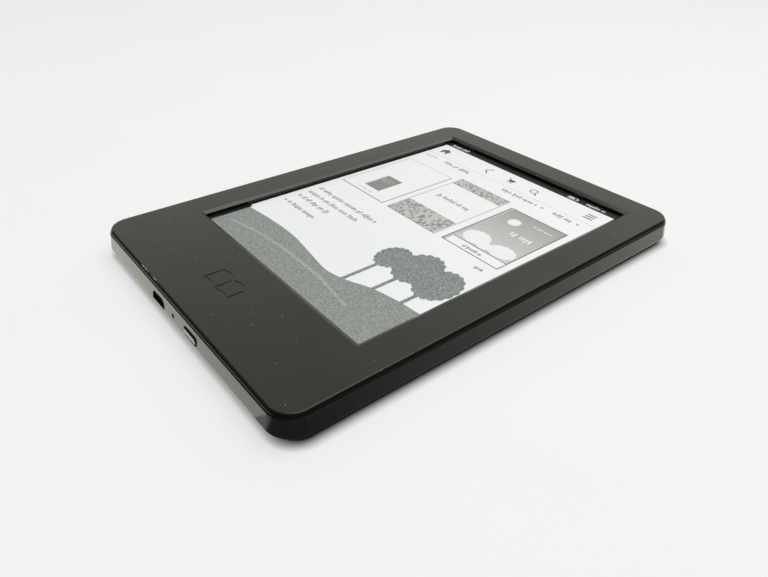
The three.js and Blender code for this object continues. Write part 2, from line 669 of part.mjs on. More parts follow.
add("display_panel", box(
  -PANEL.halfWidth, PANEL.halfWidth, PANEL.bottomY, PANEL.topY, PANEL.bottomZ, PANEL.topZ,
), PANEL_GLASS);
add("display_front_film", box(
  -FILM.halfWidth, FILM.halfWidth, FILM.bottomY, FILM.topY, FILM.bottomZ, DISPLAY_TOP_Z,
), PAPER_FILM);
add("display_driver_chip", block(
  0, DRIVER_CHIP.y, DRIVER_CHIP.width, DRIVER_CHIP.length, FILM.bottomZ, DRIVER_CHIP.topZ,
), CHIP_PLASTIC);
add("display_flex", displayFlex(), FLEX_FILM);
add("display_connector", box(
  ...DISPLAY_CONNECTOR.x, ...DISPLAY_CONNECTOR.y, BOARD_FRONT_Z, CONNECTOR_TOP_Z,
), CONNECTOR_PLASTIC);
["left", "right"].forEach((side, i) => {
  const x = TAPE.middleX * (i * 2 - 1);
  add(`display_tape_${side}`, box(
    x - TAPE.width / 2, x + TAPE.width / 2, ...TAPE.y, ...TAPE.z,
  ), ADHESIVE);
});

add("ir_light_guide", lightGuide(), DARK_OPTIC);
add("ir_touch_board", flatFrame(
  TOUCH.halfInner, TOUCH_INNER_Y, TOUCH.halfOuter, TOUCH_OUTER_Y, TOUCH.bottomZ, TOUCH.topZ,
), CIRCUIT_BOARD);
const rowX = TOUCH.halfInner + OPTIC_INSET;
const bottomRowY = TOUCH_INNER_Y[0] - OPTIC_INSET;
const topRowY = TOUCH_INNER_Y[1] + OPTIC_INSET;
add("ir_emitters_left", opticRow(SIDE_ROW, -rowX, false), DARK_OPTIC);
add("ir_emitters_bottom", opticRow(END_ROW, bottomRowY, true), DARK_OPTIC);
add("ir_sensors_right", opticRow(SIDE_ROW, rowX, false), DARK_OPTIC);
add("ir_sensors_top", opticRow(END_ROW, topRowY, true), DARK_OPTIC);
add("touch_flex", touchFlex(), FLEX_FILM);
add("touch_connector", box(
  ...TOUCH_CONNECTOR.x, ...TOUCH_CONNECTOR.y, BOARD_FRONT_Z, CONNECTOR_TOP_Z,
), CONNECTOR_PLASTIC);

add("main_board", mainBoard(), CIRCUIT_BOARD);
add("processor_shield", shieldCan(), PLATED_METAL);
for (const [name, part] of Object.entries(BACK_PARTS)) {
  const material = ["wifi_module", "crystal"].includes(name) ? PLATED_METAL : CHIP_PLASTIC;
  add(name, block(
    part.x, part.y, part.width, part.length, BOARD_BACK_Z - part.thickness, BOARD_BACK_Z,
  ), material);
}
INDUCTORS.forEach(({ x, y, radius }, i) => {
  const body = post(x, y, radius, BOARD_BACK_Z - INDUCTOR_HEIGHT, BOARD_BACK_Z);
  add(`inductor_${i + 1}`, body, CHIP_PLASTIC);
});

add("battery_cell", batteryCell(), POUCH_FOIL);
add("battery_adhesive", box(
  BATTERY.x0 + BATTERY_TAPE.marginX, BATTERY.x1 - BATTERY_TAPE.marginX,
  BATTERY.y0 + BATTERY_TAPE.marginY, BATTERY.y1 - BATTERY_TAPE.marginY,
  BATTERY.z1 + BATTERY_TAPE.gap, CHASSIS.bottomZ - BATTERY_TAPE.gap,
), ADHESIVE);
add("battery_protection_board", box(
  ...BATTERY_BOARD.x, ...BATTERY_BOARD.y, ...BATTERY_BOARD.z,
), CIRCUIT_BOARD);
add("battery_lead", batteryLead(), CABLE_JACKET);
add("battery_plug", box(
  ...BATTERY_PLUG.x, ...BATTERY_PLUG.y, ...BATTERY_PLUG.z,
), CONNECTOR_PLASTIC);
add("battery_socket", box(
  ...BATTERY_SOCKET.x, ...BATTERY_SOCKET.y, BATTERY_SOCKET.bottomZ, BOARD_BACK_Z,
), CONNECTOR_PLASTIC);
add("antenna", antenna(), PLATED_METAL);
add("antenna_cable", antennaCable(), CABLE_JACKET);

add("usb_shell", usbShell(), PLATED_METAL);
add("usb_tongue", usbTongue(), CHIP_PLASTIC);
add("power_button", powerButton(), COVER_PLASTIC);
add("switch_plunger", switchPlunger(), CHIP_PLASTIC);
add("switch_housing", switchHousing(), PLATED_METAL);
add("status_led", block(
  STATUS_LIGHT.x, STATUS_LED.y, STATUS_LED.width, STATUS_LED.length,
  BOARD_FRONT_Z, STATUS_LED.topZ,
), CLEAR_OPTIC);
add("light_pipe", lightPipe(), CLEAR_OPTIC);

BOARD_SCREWS.forEach(([x, y], i) => {
  add(`board_screw_${i + 1}`, screw(x, y, BOARD_SCREW, BOARD_BACK_Z), SCREW_STEEL);
});
FRAME_SCREWS.forEach(([x, y], i) => {
  add(`frame_screw_${i + 1}`, screw(x, y, FRAME_SCREW, CHASSIS.bottomZ - 0.05), SCREW_STEEL);
});

export default reader;
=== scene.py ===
"""The looks of a small e-paper reader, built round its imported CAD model. Metres, +Z up."""

import math
import random

import bmesh
import bpy
from mathutils import Matrix, Vector


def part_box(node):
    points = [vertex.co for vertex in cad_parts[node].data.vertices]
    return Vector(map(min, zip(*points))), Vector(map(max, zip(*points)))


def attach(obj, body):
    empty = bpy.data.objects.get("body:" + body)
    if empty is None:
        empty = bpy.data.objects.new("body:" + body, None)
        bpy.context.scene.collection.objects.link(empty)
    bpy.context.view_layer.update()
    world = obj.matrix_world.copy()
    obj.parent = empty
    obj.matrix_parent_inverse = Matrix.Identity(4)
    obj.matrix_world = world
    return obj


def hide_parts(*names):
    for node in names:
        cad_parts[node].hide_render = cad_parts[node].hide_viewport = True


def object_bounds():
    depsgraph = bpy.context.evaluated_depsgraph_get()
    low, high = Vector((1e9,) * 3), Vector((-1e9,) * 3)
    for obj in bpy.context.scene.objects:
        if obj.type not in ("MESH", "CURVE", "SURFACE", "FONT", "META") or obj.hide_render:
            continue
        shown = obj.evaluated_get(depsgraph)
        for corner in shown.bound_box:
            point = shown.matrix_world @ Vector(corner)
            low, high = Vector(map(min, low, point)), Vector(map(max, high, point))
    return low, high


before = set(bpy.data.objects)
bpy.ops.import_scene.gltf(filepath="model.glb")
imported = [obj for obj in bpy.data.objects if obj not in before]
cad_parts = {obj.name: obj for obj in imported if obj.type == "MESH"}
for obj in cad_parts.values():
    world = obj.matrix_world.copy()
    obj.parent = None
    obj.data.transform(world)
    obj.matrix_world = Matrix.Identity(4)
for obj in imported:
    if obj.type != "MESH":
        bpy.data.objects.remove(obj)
CAD_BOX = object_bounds()

# ------ sizes, in millimetres

MM = 0.001
HALF_WIDTH = CAD_BOX[1].x / MM
HALF_LENGTH = CAD_BOX[1].y / MM
THICKNESS = CAD_BOX[1].z / MM
FRONT_EDGE_Y = -HALF_LENGTH

CORNER_RADIUS = 8.3
SMALLEST_CORNER = 2.4
CORNER_STEPS = 20
ROUNDING_STEPS = 5
ROUND_END = 0.995  # an oblong's corner radius, as a share of half its height
ROUND_END_STEPS = 10
OVERSHOOT = 0.4  # how far a cutting solid runs past the face that it opens

# A path across a shell's wall: each corner is (distance in from the outline, height, rounding).
COVER_RIM_Z = 8.66
COVER_PATH = [
    (9.8, 0.0, 0.0),
    (8.6, 0.2, 4.0),
    (0.6, 2.7, 1.2),
    (0.0, 3.3, 0.9),
    (0.82, COVER_RIM_Z, 0.18),
    (1.95, COVER_RIM_Z, 0.1),
    (1.45, 4.3, 1.0),
    (9.6, 1.5, 0.0),
]
COVER_PAINTED_HIGHLIGHT_Z = ((3.0, 3.7), 8.52)  # the roundings at the wall's foot and at its rim: a painted highlight line, and a duller gloss from wear
# Ribs across the inside of the cover's floor.
COVER_RIBS = {"y": (42, 56, 70), "half_length": 47, "width": 0.8, "z": (1.3, 2.8)}

BEZEL_FOOT_Z = 8.78
BEZEL_UNDERSIDE_Z = 9.2
WINDOW = {"half_width": 45.57, "y": (-52.0, 71.25), "corner": 0.5}
WINDOW_CHAMFER = {"width": 1.45, "depth": 0.8}
BORDER = HALF_WIDTH - WINDOW["half_width"]
LIP = {"bottom_z": 7.1, "outer": 2.15, "inner": 3.15}
BEZEL_PATH = [
    (1.2, BEZEL_FOOT_Z, 0.12),  # the outer side, from its foot up to the face
    (1.0, 9.02, 0.14),
    (1.12, 9.45, 0.2),
    (1.75, THICKNESS, 0.36),
    (BORDER - WINDOW_CHAMFER["width"], THICKNESS, 0.35),  # the face's edge at the window
    (BORDER, THICKNESS - WINDOW_CHAMFER["depth"], 0.12),
    (BORDER, BEZEL_UNDERSIDE_Z, 0.0),
    (LIP["inner"], BEZEL_UNDERSIDE_Z, 0.0),
    (LIP["inner"], LIP["bottom_z"], 0.1),
    (LIP["outer"], LIP["bottom_z"], 0.1),
    (LIP["outer"], BEZEL_FOOT_Z, 0.0),
]
BEZEL_SIDE = (9.2, 9.98)  # a painted highlight line below the first height, and painted shade, dull and dark, below the second

# The bosses stand where the frame's screws are, in mirrored pairs.
BOSS = {"radius": 1.45, "bore": 0.7, "z": (6.8, 9.3), "bore_top_z": 8.8}
SCREW_PAIRS = [(30, -76.6), (54.95, -35), (54.95, 45), (35, 79)]
FRAME_SCREWS = [(side * x, y) for x, y in SCREW_PAIRS for side in (-1, 1)]
HOOK = {"length": 6, "z": (7.3, 7.7), "tip": 1.72, "root": 2.35, "clearance": 0.3}
SIDE_HOOKS_Y = (-55, -15, 25, 60)
END_HOOKS_X = (-38, 38)

# Openings and parts of the bottom edge. A mouth is flared where it meets the outer face.
WALL_REACH = 2.4
MOUTH_FLARE = 0.16
MOUTH_FACE_Y = -84.15
USB_MOUTH = {"x": -11.45, "z": 5.6, "width": 8.3, "height": 2.8, "cut": (1.1, 1.2)}
USB_SHELL = {
    "x": -11.45, "z": 5.6, "width": 7.5, "height": 2.45, "cut": (0.7, 0.85), "corner": 0.32,
    "wall": 0.3, "lip": (0.08, 0.12), "y": (-83.5, -78.4),
}
BUTTON_SLOT = {"x": 10.6, "z": 5.55, "width": 8.4, "height": 2.9}
BUTTON_CAP = {
    "x": 10.5, "z": 5.4, "width": 7.5, "height": 2.15, "y": (-84.48, -82.45),
    "crown": (0.22, 0.132), "painted_highlight_face": 0.3,
}
BUTTON_FLANGE = {"x": (5.9, 15.3), "y": (-82.55, -82.05), "z": (4.35, 6.95)}
BUTTON_NUB = {"x": (9.7, 11.5), "y": (-82.3, -81.1), "z": (4.9, 5.9)}
STATUS_HOLE = {"x": -0.95, "z": 5.55, "radius": 0.72}

# The strip along the front edge of the bezel that carries a broken pale streak.
PALE_STREAK = {"x": (-26.0, -13.0), "y": (-82.95, -82.72)}

# The small open book pressed into the chin. Its spine is lower than its pages by the dip.
EMBLEM = {
    "x": -0.45, "y": -67.5, "half_width": 7.0, "height": 7.4, "dip": 0.9, "groove": 0.8,
    "depth": 0.16,
}

# The picture on the e-paper: thin layers of ink on the display's front film.
PAPER_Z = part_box("display_front_film")[1].z / MM
INK = 0.02
PIXEL = 0.152  # the pitch of a 6-inch panel's dots
HAIRLINE = 0.28
PICTURE_LEFT = -43.5
PAGE_LEFT = -44.8
STATUS_BAR = 3.95
UNDER_BEZEL = 0.2  # how far the page runs on beneath the bezel

# The two tones that each ink is dithered between, and the size of its clumps where it is large.
INKS = {
    "black": ((8, 8, 9), (22, 22, 23)),
    "dark": ((66, 67, 68), (94, 95, 96)),
    "text": ((90, 91, 92), (124, 125, 126)),
    "middle": ((112, 113, 113), (150, 151, 151)),
    "light": ((172, 174, 175), (196, 198, 199)),
    "white": ((222, 225, 229), (236, 239, 242)),
    "hill": ((108, 113, 112), (160, 165, 164), 0.8),
    "soft": ((128, 133, 132), (178, 183, 182), 0.8),
    "leaves": ((76, 84, 83), (160, 167, 166), 0.6),
}

# Lines of words are short upright marks. Sizes are shares of a small letter's height.
WORDS = {
    "letters": (2, 7), "width": 0.42, "widths": (0.75, 1.3), "inked": 0.75, "gap": 0.24,
    "space": 0.5, "rises": (1.0, 1.0, 1.0, 1.4), "drops": (0.0, 0.0, 0.0, 0.0, 0.35),
}

# The three cards and what lies on them. A box is (x0, x1, y0, y1).
LEFT_CARD = (-42.75, -17.1, 6.6, 43.5)
SMALL_BOOK = (-34.5, -25.75, 11.6, 24.1)
MIDDLE_CARD = (-14, 12.2, 6.25, 46.6)
MOSAIC = {"left": -13.5, "columns": 27, "bands": ((6.5, 12), (40.6, 6)), "pitch": 0.93}
RIGHT_CARD = (15.6, 41.6, 6.6, 43.5)
SKY = (17.1, 41.26, 11.6, 43.16)

# The hill's upper edge, the path across it, and the trees: (x, y, half width, half height).
CREST = [
    (-31, -34), (-16.25, -33.75), (-2.5, -35.6), (8.75, -37.1), (17.5, -35.25), (25, -32.1),
    (35, -29.9),
]
CREST_ENDS = (-35.6, -28.8)
PATH = [(-40, -45.5), (-22, -42.0), (-4, -40.9), (12, -41.4), (28, -43.5)]
TREES = [(15.8, -15.2, 5.8, 7.2), (36.8, -14.6, 7.4, 9.4), (26.0, -13.2, 7.8, 9.8)]
TRUNK_HALF_WIDTH = 0.7

# ------ camera and light

CAMERA = {"lens": 29.04, "azimuth": 50.13, "elevation": 34.76, "roll": 1.60}
CAMERA_TARGET = (19.0, -21.48, 0.0)
CAMERA_DISTANCE = 203.12

# Beyond the reader the room is as bright as a window. It falls off where the direction's share
# along the bright side drops from the first value of the fade to the second.
WORLD = {
    "colour": (1.0, 0.985, 0.87, 1), "bright_side": (-0.5, 0.6, 0.62),
    "fade": (0.85, 0.4), "strength": (0.86, 0.08),
}
TOP_LIGHT = {"place": (0.16, 0.2, 1.0), "size": 0.9, "power": 9.0}  # metres and watts

# Level cards that show only in reflections: each has a range along X and Y and a height, in
# millimetres, and its brightness at the lower and upper end of Y.
CARDS = {
    "white_card": ((-400, 43), (-500, -80), 0.1, (2.4, 1.8)),
    "dark_card": ((49, 110), (-140, -80), 0.1, (0.07, 0.12)),
    "grey_card": ((54, 110), (-80, 120), 0.1, (0.06, 1.9)),
    "sky_card": ((-85, 100), (50, 380), 300, (3.7, 3.7)),
}

# The floor glows, but a painted shadow lies beneath the reader. Its glow rises to full over a
# band, in millimetres out from the reader's outline, and the outline is shifted away from the light.
FLOOR_GLOW_AND_SHADOW = {"strength": 0.62, "band": (-2.1, 1.9), "shift": {"X": 0, "Y": 1.2}}
FLOOR = {"half_width": 3000, "z": (-5, -0.02)}

# The spread of a noise, and of one whose smears and scuffs are softer.
NOISE_RANGE = (0.3, 0.7)
SMEAR_RANGE = (0.3, 0.75)


def add_object(name, data):
    """A new object in the scene."""
    thing = bpy.data.objects.new(name, data)
    bpy.context.scene.collection.objects.link(thing)
    return thing


def ranged(tree, value, ends):
    """A value carried over to another range. ends is the old low and high, then the new ones."""
    node = tree.nodes.new("ShaderNodeMapRange")
    tree.links.new(value, node.inputs["Value"])
    for socket, number in zip(("From Min", "From Max", "To Min", "To Max"), ends):
        node.inputs[socket].default_value = number
    return node.outputs["Result"]


def add_camera():
    """The camera looks at its target from a given azimuth and elevation, with a slight roll."""
    azimuth = math.radians(CAMERA["azimuth"])
    elevation = math.radians(CAMERA["elevation"])
    back = Vector((
        math.sin(azimuth) * math.cos(elevation),
        -math.cos(azimuth) * math.cos(elevation),
        math.sin(elevation),
    ))
    right = Vector((0, 0, 1)).cross(back).normalized()
    up = back.cross(right)
    roll = Matrix.Rotation(math.radians(CAMERA["roll"]), 3, "Z")
    turn = Matrix((right, up, back)).transposed() @ roll
    data = bpy.data.cameras.new("camera")
    data.lens = CAMERA["lens"]
    data.clip_start = 0.01
    data.clip_end = 20
    camera = add_object("camera", data)
    place = (Vector(CAMERA_TARGET) + back * CAMERA_DISTANCE) * MM
    camera.matrix_world = Matrix.Translation(place) @ turn.to_4x4()
    bpy.context.scene.camera = camera


def add_top_light():
    """A soft square light, nearly overhead, that points at the middle of the reader."""
    data = bpy.data.lights.new("top", "AREA")
    data.size = TOP_LIGHT["size"]
    data.energy = TOP_LIGHT["power"]
    light = add_object("top", data)
    light.location = TOP_LIGHT["place"]
    light.rotation_euler = (-light.location).to_track_quat("-Z", "Y").to_euler()


def add_world():
    """A warm white room that is bright on one side."""
    world = bpy.data.worlds.new("studio")
    world.use_nodes = True
    tree = world.node_tree
    background = tree.nodes["Background"]
    background.inputs["Color"].default_value = WORLD["colour"]
    direction = tree.nodes.new("ShaderNodeTexCoord").outputs["Generated"]
    facing = tree.nodes.new("ShaderNodeVectorMath")
    facing.operation = "DOT_PRODUCT"
    facing.inputs[1].default_value = WORLD["bright_side"]
    tree.links.new(direction, facing.inputs[0])
    strength = ranged(tree, facing.outputs["Value"], (*WORLD["fade"], *WORLD["strength"]))
    tree.links.new(strength, background.inputs["Strength"])
    bpy.context.scene.world = world


def add_card(name, x, y, height, brightness):
    """A flat card that glows, and that only glossy surfaces see."""
    mesh = raised(rectangle(*x, *y), height, height + 0.1)
    mesh.transform(Matrix.Scale(MM, 4))
    surface = Surface(name, 1.0)
    glow = surface.range(surface.along("Y"), y[0] * MM, y[1] * MM, *brightness)
    surface.paint((0, 0, 0, 1))
    surface.set("Emission Color", WORLD["colour"])
    surface.join(glow, surface.shader.inputs["Emission Strength"])
    mesh.materials.append(surface.material)
    card = add_object(name, mesh)
    card.visible_camera = False
    card.visible_diffuse = False
    card.visible_shadow = False


def add_studio():
    """The room, its cards and its light, in plain sRGB."""
    bpy.context.scene.view_settings.view_transform = "Standard"
    add_world()
    for name, card in CARDS.items():
        add_card(name, *card)
    add_top_light()


# ------ materials

def linear(value):
    """One sRGB channel, 0 to 255, as linear light."""
    share = value / 255
    return share / 12.92 if share <= 0.04045 else ((share + 0.055) / 1.055) ** 2.4


def colour(red, green, blue):
    return (linear(red), linear(green), linear(blue), 1)


class Surface:
    """A node material that is built up socket by socket. Sizes are in millimetres."""

    def __init__(self, name, roughness=0.5, metallic=0.0, specular=0.5):
        self.material = bpy.data.materials.new(name)
        self.material.use_nodes = True
        self.tree = self.material.node_tree
        self.shader = self.tree.nodes["Principled BSDF"]
        self.set("Roughness", roughness)
        self.set("Metallic", metallic)
        self.set("Specular IOR Level", specular)
        self.place = self.node("TexCoord").outputs["Object"]

    def set(self, socket, value):
        self.shader.inputs[socket].default_value = value

    def join(self, value, socket):
        """Puts a constant or another node's output into a socket."""
        if isinstance(value, bpy.types.NodeSocket):
            self.tree.links.new(value, socket)
        else:
            socket.default_value = value

    def node(self, kind, **inputs):
        """A new node, with a constant or another node's output for each input named."""
        node = self.tree.nodes.new("ShaderNode" + kind)
        for name, value in inputs.items():
            self.join(value, node.inputs[name])
        return node

    def noise(self, size, detail, stretch=(1, 1, 1)):
        place = self.node("Mapping", Scale=stretch, Vector=self.place).outputs["Vector"]
        node = self.node("TexNoise", Scale=1 / (size * MM), Detail=detail, Vector=place)
        return node.outputs["Fac"]

    def cells(self, size, feature="F1"):
        """The outputs of a pattern of cells round scattered points."""
        node = self.node("TexVoronoi", Scale=1 / (size * MM), Vector=self.place)
        node.feature = feature
        return node.outputs

    def pixels(self, size):
        """A random value for each square pixel of a display."""
        snap = self.node("VectorMath", Vector=self.place)
        snap.operation = "SNAP"
        snap.inputs[1].default_value = (size * MM,) * 3
        node = self.node("TexWhiteNoise", Vector=snap.outputs["Vector"])
        node.noise_dimensions = "2D"
        return node.outputs["Value"]

    def attribute(self, name):
        node = self.node("Attribute")
        node.attribute_name = name
        return node.outputs["Fac"]

    def along(self, axis):
        return self.node("SeparateXYZ", Vector=self.place).outputs[axis]

    def math(self, operation, first, second=0.0):
        node = self.node("Math")
        node.operation = operation
        self.join(first, node.inputs[0])
        self.join(second, node.inputs[1])
        return node.outputs[0]

    def range(self, value, low, high, new_low=0.0, new_high=1.0):
        return ranged(self.tree, value, (low, high, new_low, new_high))

    def mix(self, share, first, second):
        """A mix of two colours. Each is another node's output, or its red, green and blue."""
        node = self.node("Mix")
        node.data_type = "RGBA"
        self.join(share, node.inputs["Factor"])
        for side, tone in (("A", first), ("B", second)):
            is_output = isinstance(tone, bpy.types.NodeSocket)
            self.join(tone if is_output else colour(*tone), node.inputs[side])
        return node.outputs["Result"]

    def paint(self, socket):
        self.join(socket, self.shader.inputs["Base Color"])

    def mottle(self, share, dark, light):
        """Paints the surface with a pattern of two tones."""
        self.paint(self.mix(share, dark, light))

    def polish(self, noise, low, high, ends=NOISE_RANGE):
        """Roughness that wanders between two values with a noise."""
        self.join(self.range(noise, *ends, low, high), self.shader.inputs["Roughness"])

    def gloss(self, mark, low, high):
        """A specular level that follows a mark on the mesh."""
        level = self.range(self.attribute(mark), 0, 1, low, high)
        self.join(level, self.shader.inputs["Specular IOR Level"])

    def relief(self, height, depth, strength=1.0):
        """Bumps of a given depth."""
        node = self.node("Bump", Strength=strength, Distance=depth * MM, Height=height)
        self.join(node.outputs["Normal"], self.shader.inputs["Normal"])


# The pale grey of the painted highlight lines on roundings and faces.
PAINTED_HIGHLIGHT = (84, 83, 80)


def mottled(name, cloud, dark, light, smear, low, high, **looks):
    """A finish of two tones whose gloss is uneven. cloud and smear are the size and detail of the
    noises, and low and high are the ends of the roughness."""
    surface = Surface(name, **looks)
    surface.mottle(surface.noise(*cloud), dark, light)
    surface.polish(surface.noise(*smear), low, high)
    return surface


def dusted(surface, base, size, share, dust):
    """Scatters small pale specks over a colour."""
    cells = surface.cells(size)
    speck = surface.math("LESS_THAN", cells["Distance"], share)
    chosen = surface.math("GREATER_THAN", cells["Color"], 0.5)
    return surface.mix(surface.math("MULTIPLY", speck, chosen), base, dust)


def shade_and_highlight(surface, base, specular, highlight_and_wear):
    """Paints dull black painted shade where the shade mark is set, and a pale painted highlight
    where its highlight mark is set.
    """
    surface.gloss("shade", specular, 0.06)
    # painted shade: near black where the shade mark is set
    base = surface.mix(surface.attribute("shade"), base, (14, 14, 14))
    painted_highlight = surface.math("MULTIPLY", surface.attribute("highlight_and_wear"), highlight_and_wear)
    surface.paint(surface.mix(painted_highlight, base, PAINTED_HIGHLIGHT))


def pale_streaked(surface, base):
    """A broken pale streak along the front edge of the bezel."""
    share = surface.math("GREATER_THAN", surface.noise(0.9, 4, (1, 0.2, 0.2)), 0.5)
    for axis, limits in (("X", PALE_STREAK["x"]), ("Y", PALE_STREAK["y"])):
        for operation, limit in zip(("GREATER_THAN", "LESS_THAN"), limits):
            inside = surface.math(operation, surface.along(axis), limit * MM)
            share = surface.math("MULTIPLY", share, inside)
    return surface.mix(share, base, (176, 172, 164))


def bezel_plastic():
    """Finely textured dark grey plastic, with smears from hands, dust, a pale streak, painted shade
    on its sides and a painted highlight at its foot.
    """
    surface = Surface("bezel_plastic")
    base = surface.mix(surface.noise(0.35, 3), (17, 19, 18), (24, 26, 25))
    smears = surface.range(surface.noise(34, 4), 0.35, 0.7, 0, 0.5)
    base = surface.mix(smears, base, (30, 29, 27))
    base = dusted(surface, base, 2.8, 0.058, (132, 130, 124))
    # painted shade on the side band and window wall, and a painted highlight line on the foot
    shade_and_highlight(surface, pale_streaked(surface, base), 0.38, 0.2)
    surface.polish(surface.noise(18, 5), 0.18, 0.27, SMEAR_RANGE)
    surface.relief(surface.noise(0.16, 2), 0.018, 0.4)
    return surface.material


def cover_plastic():
    """Black plastic with a satin gloss, fine scuffs, a little dust and painted highlight lines on
    its roundings.
    """
    surface = Surface("cover_plastic")
    surface.gloss("highlight_and_wear", 0.25, 0.08)
    base = surface.mix(surface.noise(22, 4), (24, 25, 26), (34, 35, 36))
    # painted highlight: a lighter line on the roundings at the wall's foot and rim
    painted_highlight = surface.math("MULTIPLY", surface.attribute("highlight_and_wear"), 0.1)
    base = surface.mix(painted_highlight, base, PAINTED_HIGHLIGHT)
    surface.paint(dusted(surface, base, 7, 0.02, (140, 138, 132)))
    surface.polish(surface.noise(6, 6, (1, 1, 4)), 0.14, 0.26, SMEAR_RANGE)
    surface.relief(surface.noise(0.3, 2), 0.012, 0.35)
    return surface.material


def shaded_recess_plastic():
    """The same plastic inside the mouths of the bottom edge, painted near black as the shade inside
    them.
    """
    surface = Surface("shaded_recess_plastic", 0.7, specular=0.06)
    surface.mottle(surface.noise(0.5, 3), (6, 6, 6), (13, 13, 13))
    surface.relief(surface.noise(0.15, 2), 0.01, 0.5)
    return surface.material


def button_plastic():
    surface = Surface("button_plastic")
    base = surface.mix(surface.noise(1.2, 3), (16, 16, 16), (26, 26, 25))
    # painted shade on the cap's flank and back, and a painted highlight on its crown and face
    shade_and_highlight(surface, base, 0.22, 0.28)
    surface.polish(surface.noise(0.8, 4), 0.18, 0.3)
    surface.relief(surface.noise(0.2, 2), 0.008, 0.4)
    return surface.material


def emblem_gloss():
    """The smooth floor of the pressed emblem."""
    return mottled("emblem_gloss", (1.5, 3), (7, 7, 7), (14, 14, 14), (0.7, 3), 0.12, 0.22).material


def paper_film():
    """The e-paper's front film: a cool white, with the faint speckle of its particles."""
    surface = Surface("paper_film", specular=0.2)
    fine = surface.mix(surface.pixels(PIXEL), (227, 230, 234), (238, 241, 244))
    cloud = surface.range(surface.noise(26, 3), 0.35, 0.7, 0, 0.35)
    surface.paint(surface.mix(cloud, fine, (229, 231, 234)))
    surface.polish(surface.noise(14, 4), 0.44, 0.54)
    surface.relief(surface.noise(0.12, 2), 0.006, 0.4)
    return surface.material


def ink(name, dark, light, clump=0.45):
    """Greyscale ink, dithered between two tones from pixel to pixel and in small clumps."""
    surface = Surface(name, specular=0.2)
    clumps = surface.range(surface.noise(clump, 2), 0.35, 0.65)
    pattern = surface.math("MULTIPLY", surface.pixels(PIXEL), 0.5)
    pattern = surface.math("ADD", pattern, surface.math("MULTIPLY", clumps, 0.5))
    surface.mottle(pattern, dark, light)
    surface.relief(surface.noise(0.12, 2), 0.006, 0.4)
    return surface.material


def sky_ink():
    """A picture's grey that fades towards the top of the page."""
    surface = Surface("ink_sky", specular=0.35)
    height = surface.range(surface.along("Y"), 11 * MM, 43 * MM, 0.1, 0.8)
    pattern = surface.math("ADD", height, surface.math("MULTIPLY", surface.pixels(0.3), 0.2))
    surface.mottle(pattern, (205, 207, 207), (140, 142, 142))
    surface.relief(surface.noise(0.12, 2), 0.006, 0.4)
    return surface.material


def dark_optic():
    """Plastic that looks black and lets infrared through, polished by its mould."""
    return mottled("dark_optic", (5, 3), (10, 9, 12), (22, 19, 24), (3, 3), 0.12, 0.25).material


def circuit_board():
    """Green solder mask over faint copper tracks."""
    surface = Surface("circuit_board")
    track = surface.math("LESS_THAN", surface.cells(1.6, "DISTANCE_TO_EDGE")["Distance"], 0.08)
    base = surface.mix(surface.noise(8, 3), (18, 62, 42), (30, 84, 56))
    surface.paint(surface.mix(surface.math("MULTIPLY", track, 0.45), base, (88, 118, 60)))
    surface.polish(surface.noise(2, 3), 0.34, 0.5)
    surface.relief(track, 0.02)
    return surface.material


def chip_plastic():
    tones = (26, 27, 29), (40, 41, 43)
    surface = mottled("chip_plastic", (0.4, 4), *tones, (1.5, 3), 0.48, 0.64)
    surface.relief(surface.noise(0.15, 2), 0.01, 0.6)
    return surface.material


def connector_plastic():
    tones = (216, 206, 182), (228, 220, 200)
    return mottled("connector_plastic", (1.4, 3), *tones, (1, 3), 0.38, 0.52).material


def flex_film():
    """Amber film over copper lines that run along the flex."""
    surface = Surface("flex_film")
    lines = surface.noise(0.7, 1, (1, 0.01, 0.01))
    base = surface.mix(surface.noise(6, 3), (150, 92, 36), (176, 114, 48))
    surface.paint(surface.mix(surface.range(lines, 0.48, 0.52), base, (196, 140, 70)))
    surface.polish(surface.noise(3, 3), 0.28, 0.44)
    return surface.material


def adhesive():
    surface = Surface("adhesive", 0.85)
    surface.mottle(surface.noise(0.8, 4), (24, 24, 24), (44, 44, 43))
    surface.relief(surface.noise(0.5, 3), 0.03)
    return surface.material


def metal(name, dark, light, low, high, streak):
    """Bare metal with streaks in its polish."""
    surface = mottled(name, (4, 4), dark, light, (1.2, 4, streak), low, high, metallic=1.0)
    surface.relief(surface.noise(0.3, 3, streak), 0.004)
    return surface.material


def pouch_foil():
    """The battery's crinkled foil pouch."""
    tones = (158, 160, 162), (184, 186, 188)
    surface = mottled("pouch_foil", (12, 3), *tones, (5, 4), 0.32, 0.5, metallic=0.8)
    surface.relief(surface.noise(5, 4), 0.12)
    return surface.material


def cable_jacket():
    return mottled("cable_jacket", (1.5, 3), (26, 26, 26), (44, 44, 44), (1, 3), 0.42, 0.6).material


def clear_optic():
    tones = (196, 200, 202), (226, 230, 232)
    surface = mottled("clear_optic", (1, 3), *tones, (0.6, 3), 0.08, 0.2)
    surface.set("Transmission Weight", 0.6)
    return surface.material


def smoked_optic():
    """The status light's pipe, which looks black until it is lit."""
    tones = (6, 6, 6), (14, 14, 14)
    return mottled("smoked_optic", (0.5, 3), *tones, (0.4, 3), 0.4, 0.6, specular=0.08).material


def panel_glass():
    tones = (146, 156, 153), (164, 172, 169)
    return mottled("panel_glass", (30, 3), *tones, (12, 3), 0.06, 0.16).material


